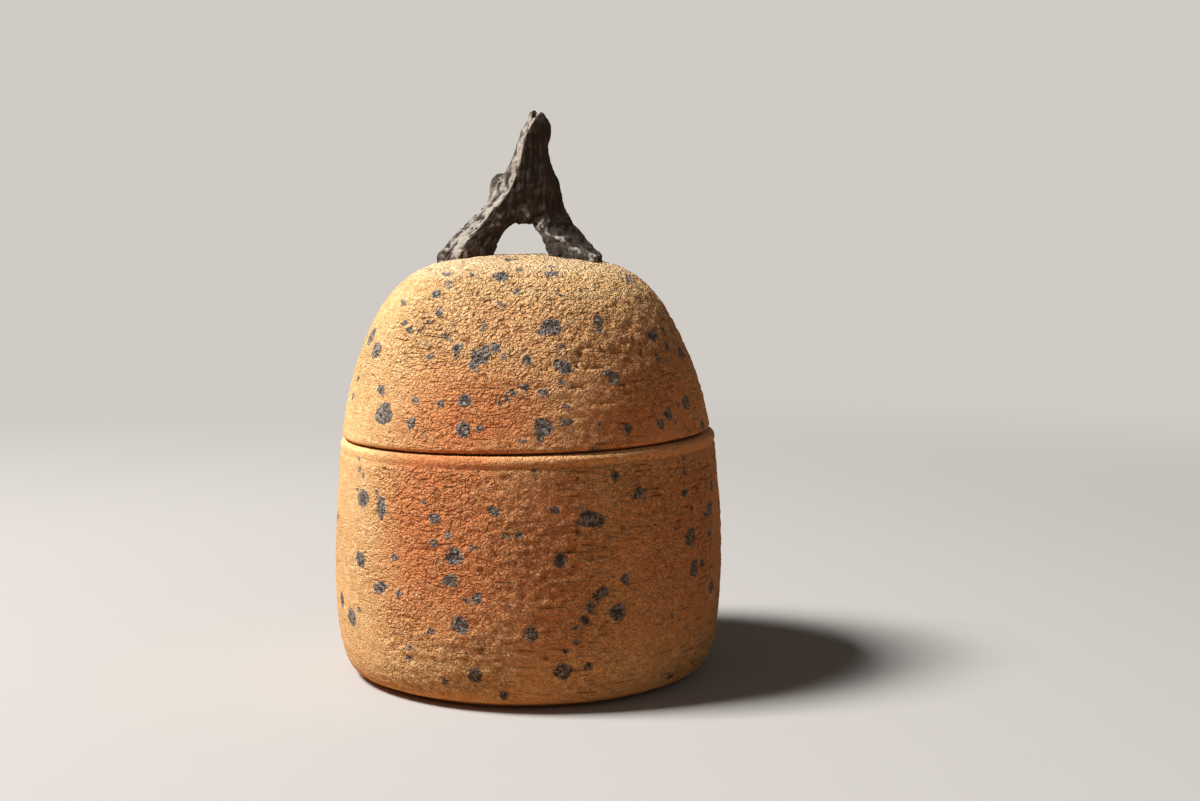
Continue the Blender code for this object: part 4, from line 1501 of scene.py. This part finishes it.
@dataclass
class TwigFork:
    """The twig: a stem split into two legs that straddle the crown, a knot and a snapped snag."""

    lid: DomedLid
    corners: int = 6
    voxel: float = 0.36 * MM
    soften_passes: int = 4
    sink: float = 0.35 * MM
    bark_grain: float = 0.30 * MM
    bark_lump: float = 0.55 * MM
    pit_depth: float = 0.65 * MM
    fibre_size: float = 1.25 * MM
    furrow_size: float = 2.9 * MM
    lump_size: float = 4.6 * MM
    fine_lump_size: float = 2.2 * MM
    crater_spacing: float = 2.0 * MM
    fork_height: float = 24.0 * MM

    def corner_places(self, cut: Station) -> list[Vector]:
        """Return the six corners of a level cut, in the lid's own frame.

        Args:
            cut: The cut.

        Returns:
            The corners, from the left edge by the front to the back.
        """
        near, far = cut.back - cut.depth, cut.back + cut.depth
        outline = (
            (cut.left, near + cut.cheek * cut.depth),
            (cut.ridge, near),
            (0.28 * cut.ridge + 0.72 * cut.right, near + cut.brow * cut.depth),
            (cut.right, cut.back + 0.05 * cut.depth),
            (0.30 * cut.left + 0.70 * cut.right, far),
            (0.70 * cut.left + 0.30 * cut.right, far),
        )
        level = self.lid.seat_height + self.lid.height + cut.rise * MM
        back = self.lid.placing.inverted()
        return [back @ Vector((x * MM, y * MM, level)) for x, y in outline]

    def limb(self, name: str, cuts: Sequence[Station]) -> bpy.types.Object:
        """Extrude a limb from cut to cut.

        Args:
            name: Name of the limb.
            cuts: Its level cuts, from the top down.

        Returns:
            The closed limb.
        """
        deselect()
        bpy.ops.mesh.primitive_circle_add(vertices=self.corners, radius=MM, fill_type="NGON")
        limb = new_piece(name)
        with editing():
            for _ in cuts[1:]:
                bpy.ops.mesh.extrude_region_move(TRANSFORM_OT_translate={"value": (0.0, 0.0, -MM)})
        places = rows_of(limb, "co")
        levels = np.round(-places[:, 2] / MM).astype(int)
        bearings = np.array([math.atan2(point.co.y, point.co.x) for point in limb.data.vertices])
        for level, cut in enumerate(cuts):
            ring = np.nonzero(levels == level)[0]
            for index, corner in zip(ring[np.argsort(bearings[ring])], self.corner_places(cut)):
                places[index] = corner
        move_points(limb, places)
        with editing():
            bpy.ops.mesh.normals_make_consistent(inside=False)
        return limb

    def joined(self) -> bpy.types.Object:
        """Join the limbs into one skin.

        Returns:
            The twig, softened but still without bark.
        """
        named = {"stem": STEM, "tip": TIP, "left_leg": LEFT_LEG, "right_leg": RIGHT_LEG}
        named |= {"knot": KNOT, "snag": SNAG}
        limbs = [self.limb(name, cuts) for name, cuts in named.items()]
        deselect()
        for limb in limbs:
            limb.select_set(True)
        bpy.context.view_layer.objects.active = limbs[0]
        bpy.ops.object.join()
        twig = new_piece("twig_fork")
        apply_modifier(twig, "REMESH", mode="VOXEL", voxel_size=self.voxel)
        apply_modifier(twig, "SMOOTH", factor=0.5, iterations=self.soften_passes)
        bpy.ops.object.shade_smooth()
        return twig

    def along_limbs(self, places: np.ndarray) -> np.ndarray:
        """Return coordinates that run with the grain: stretched along the limbs, true across them.

        Args:
            places: Points in the lid's own frame.

        Returns:
            Grain coordinates, one row for each point.
        """
        rise = places[:, 2] - self.lid.height
        lower = ease(self.fork_height, 6.0 * MM, rise)
        lean = np.where(places[:, 0] < 0.0, 0.72, -0.62) * lower
        across = places[:, 0] + lean * (self.fork_height - rise) * lower
        return np.column_stack([across, places[:, 1], 0.16 * places[:, 2]])

    def bark(self, places: np.ndarray, normals: np.ndarray) -> tuple[np.ndarray, np.ndarray]:
        """Work out the bark's relief and where it is painted lighter: ash, and painted light on the faces
        turned to the key light.

        Args:
            places: Points in the lid's own frame.
            normals: Outward directions.

        Returns:
            Height at each point, and the share of ash and painted light.
        """
        grained = self.along_limbs(places)
        fibre = cloud(grained / self.fibre_size, salt=81)
        furrow = cloud(grained / self.furrow_size, salt=82)
        lump = cloud(places / self.lump_size, salt=83) + 0.7 * cloud(places / self.fine_lump_size, salt=84)
        near, second, lot = cells(places / self.crater_spacing, salt=85)
        crater = (1.0 - ease(0.06, 0.20 + 0.22 * lot, near)) * (lot > 0.35)
        rough = second - near
        # Painted light: faces turned up and to the left, toward the key light, count as lit and get the
        # pale ash grey.
        facing = -0.85 * normals[:, 0] + 0.50 * normals[:, 2] - 0.05 * normals[:, 1]
        lit = ease(-0.10, 0.80, facing + 0.22 * lump)
        rise = places[:, 2] - self.lid.height
        foot = ease(14.0 * MM, 2.0 * MM, rise)
        torn = np.clip(0.20 + 0.80 * lit + 0.25 * foot, 0.0, 1.0)
        height = self.bark_grain * (fibre + 0.9 * furrow) * (1.15 - 0.15 * torn)
        height += self.bark_lump * lump * (0.6 + 0.45 * ease(self.fork_height, 14.0 * MM, rise))
        height += self.bark_grain * 1.4 * (np.minimum(rough, 0.5) - 0.25) * torn
        height -= self.pit_depth * crater * torn * (lump > -0.35)
        ash_and_painted_light = lit * (0.95 + 0.30 * fibre + 0.25 * furrow) + 0.08 * foot - 0.10
        return height, self.painted_shade_and_ridge_light(places, ash_and_painted_light)

    def ridge_at(self, cuts: Sequence[Station], rise: np.ndarray) -> np.ndarray:
        """Return where a limb's front ridge stands at each rise, in millimetres."""
        upward = cuts[::-1]
        return np.interp(rise, [cut.rise for cut in upward], [cut.ridge for cut in upward])

    def painted_shade_and_ridge_light(self, places: np.ndarray, ash_and_painted_light: np.ndarray) -> np.ndarray:
        """Paint shade over the right leg but for its lit ridge, darken the tip of the left toe, and paint a
        highlight along the stem's ridge.

        Args:
            places: Points in the lid's own frame.
            ash_and_painted_light: Share of ash and painted light at each point.

        Returns:
            The share with the painted shade and highlights on it.
        """
        mm = (places @ np.array(self.lid.placing.to_3x3()).T + np.array(self.lid.placing.translation)) / MM
        rise = mm[:, 2] - (self.lid.seat_height + self.lid.height) / MM
        # Painted shadow: the right leg lies in the stem's shadow and is darkened, but for its crest, which
        # is painted lit.
        leg = ease(0.0, 4.0, mm[:, 0]) * ease(16.0, 12.0, rise)
        painted_crest_light = bump_at(0.0, 2.6, mm[:, 0] - self.ridge_at(RIGHT_LEG, rise) + 0.8)
        painted_crest_light *= 0.94 + cloud(places / (1.5 * MM), salt=86)
        ash_and_painted_light = ash_and_painted_light + leg * (1.35 * painted_crest_light - 0.85 * ash_and_painted_light - 0.40)
        # Painted highlight along the stem's front ridge; the rest of the upper stem is darkened a little.
        painted_spine_light = bump_at(0.0, 1.6, mm[:, 0] - self.ridge_at(STEM, rise) + 0.6)
        painted_spine_light *= ease(0.0, -2.0, mm[:, 1]) * ease(13.0, 20.0, rise)
        ash_and_painted_light = ash_and_painted_light + 0.40 * painted_spine_light - 0.28 * (1.0 - painted_spine_light) * ease(16.0, 34.0, rise)
        return ash_and_painted_light - 0.6 * ease(-34.8, -36.4, mm[:, 0])

    def build(self, char: bpy.types.Material) -> bpy.types.Object:
        """Make the twig, seat its feet on the crown and put it on its body.

        Args:
            char: The finish.

        Returns:
            The finished twig.
        """
        twig = self.joined()
        places, normals = rows_of(twig, "co"), rows_of(twig, "normal")
        height, ash_and_painted_light = self.bark(places, normals)
        moved = places + normals * height[:, None]
        moved[:, 2] = np.maximum(moved[:, 2], self.lid.height_at(moved) - self.sink)
        store(twig, Skin.ASH, ash_and_painted_light)
        store(twig, Skin.RELIEF, height / self.bark_grain)
        move_points(twig, moved)
        twig.data.transform(self.lid.placing)
        dress(twig, char)
        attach(twig, Body.LID.value)
        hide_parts("twig_handle")
        return twig


@dataclass
class Studio:
    """A pale paper floor, a soft key light from the left, a weak fill and a little light all round."""

    floor_size: float = 16.0
    fade_start: float = 0.30
    fade_end: float = 1.15
    paper: Colour = glaze_colour(176, 172, 167)
    paper_fleck: Colour = glaze_colour(164, 159, 153)
    paper_bounce: Colour = glaze_colour(158, 118, 86)
    backdrop: Colour = glaze_colour(208, 203, 197)
    fleck_size: float = 20.0 * MM
    paper_roughness: float = 0.95
    key_place: tuple[float, float, float] = (-1.62, -0.26, 2.38)
    key_size: float = 0.72
    key_power: float = 163.0
    fill_place: tuple[float, float, float] = (0.9, -1.1, 0.7)
    fill_size: float = 1.2
    fill_power: float = 1.3
    world_level: float = 0.07
    world_tint: Colour = (1.0, 0.90, 0.80)
    target: tuple[float, float, float] = (0.0, 0.0, 0.11)

    def looked_at(self, sheet: NodeSheet) -> Field:
        """Tell the rays that look at the background from the rays that light the jar.

        Args:
            sheet: The node tree under work.

        Returns:
            1 for camera, glossy and transmission rays, 0 for the others.
        """
        camera = sheet.add("LightPath", "Is Camera Ray", {})
        glossy = sheet.math("MAXIMUM", camera, camera.beside("Is Glossy Ray"))
        return sheet.math("MAXIMUM", glossy, camera.beside("Is Transmission Ray"))

    def build_floor(self) -> bpy.types.Object:
        """Lay the paper: lit and shadowed round the jar, and fading far off into the backdrop's colour.

        Returns:
            The floor.
        """
        deselect()
        bpy.ops.mesh.primitive_plane_add(size=self.floor_size)
        floor = new_piece("paper_floor")
        sheet = NodeSheet(bpy.data.materials.new("pale_paper"))
        looked_at = self.looked_at(sheet)
        away = sheet.add("VectorMath", "Value", {0: sheet.place}, operation="LENGTH")
        far = away.ramp(self.fade_start, self.fade_end) * looked_at
        fleck = sheet.cloud(self.fleck_size).ramp(0.2, 0.8, 0.0, 0.04)
        paper = sheet.washed(self.paper, (fleck, self.paper_fleck))
        paper = sheet.washed(self.paper_bounce, (looked_at, paper), (far, (0.0, 0.0, 0.0)))
        material = sheet.finish(
            {
                "Base Color": paper,
                "Emission Color": self.backdrop,
                "Emission Strength": far,
                "Roughness": self.paper_roughness,
                "Specular IOR Level": 0.0,
            }
        )
        dress(floor, material)
        return floor

    def light_world(self) -> None:
        """Fill the world with a little warm light, which shows as the plain backdrop."""
        world = bpy.context.scene.world or bpy.data.worlds.new("studio")
        bpy.context.scene.world = world
        sheet = NodeSheet(world)
        lit, shown = (
            sheet.add("Background", "Background", {"Color": colour, "Strength": level})
            for colour, level in ((self.world_tint, self.world_level), (self.backdrop, 1.0))
        )
        mixed = sheet.add("MixShader", "Shader", {"Fac": self.looked_at(sheet), 1: lit, 2: shown})
        sheet.close("OutputWorld", mixed)

    def add_light(self, name: str, place: tuple[float, float, float], size: float, power: float) -> None:
        """Hang a square soft light that looks at the jar.

        Args:
            name: Name of the light.
            place: Where it hangs.
            size: Side of the square.
            power: Power in watts.
        """
        aim = (Vector(self.target) - Vector(place)).to_track_quat("-Z", "Y").to_euler()
        deselect()
        bpy.ops.object.light_add(type="AREA", location=place, rotation=aim)
        light = new_piece(name)
        light.data.shape = "SQUARE"
        light.data.size = size
        light.data.energy = power

    def build(self) -> None:
        """Set up the floor, the lights, the world and the camera."""
        self.build_floor()
        self.add_light("key_light", self.key_place, self.key_size, self.key_power)
        self.add_light("fill_light", self.fill_place, self.fill_size, self.fill_power)
        self.light_world()
        bpy.context.scene.view_settings.view_transform = "Standard"
        FRONT.add_camera()


def report(piece: bpy.types.Object) -> None:
    """Log a finished piece with its count of triangles."""
    triangles = sum(len(face.vertices) - 2 for face in piece.data.polygons)
    LOG.info("%s: %d triangles", piece.name, triangles)


def main() -> None:
    """Build the jar, its lid and the studio, and note the sizes."""
    logging.basicConfig(level=logging.INFO, format="%(name)s: %(message)s")
    clay = SpeckledStoneware().make("speckled_stoneware")
    char = CharredTwig().make("charred_twig")
    lid = DomedLid()
    report(StonewareJar().build(clay))
    report(lid.build_dome(clay))
    report(lid.build_ring(clay))
    report(TwigFork(lid).build(char))
    Studio().build()
    LOG.info("sizes noted")


if __name__ == "__main__":
    main()
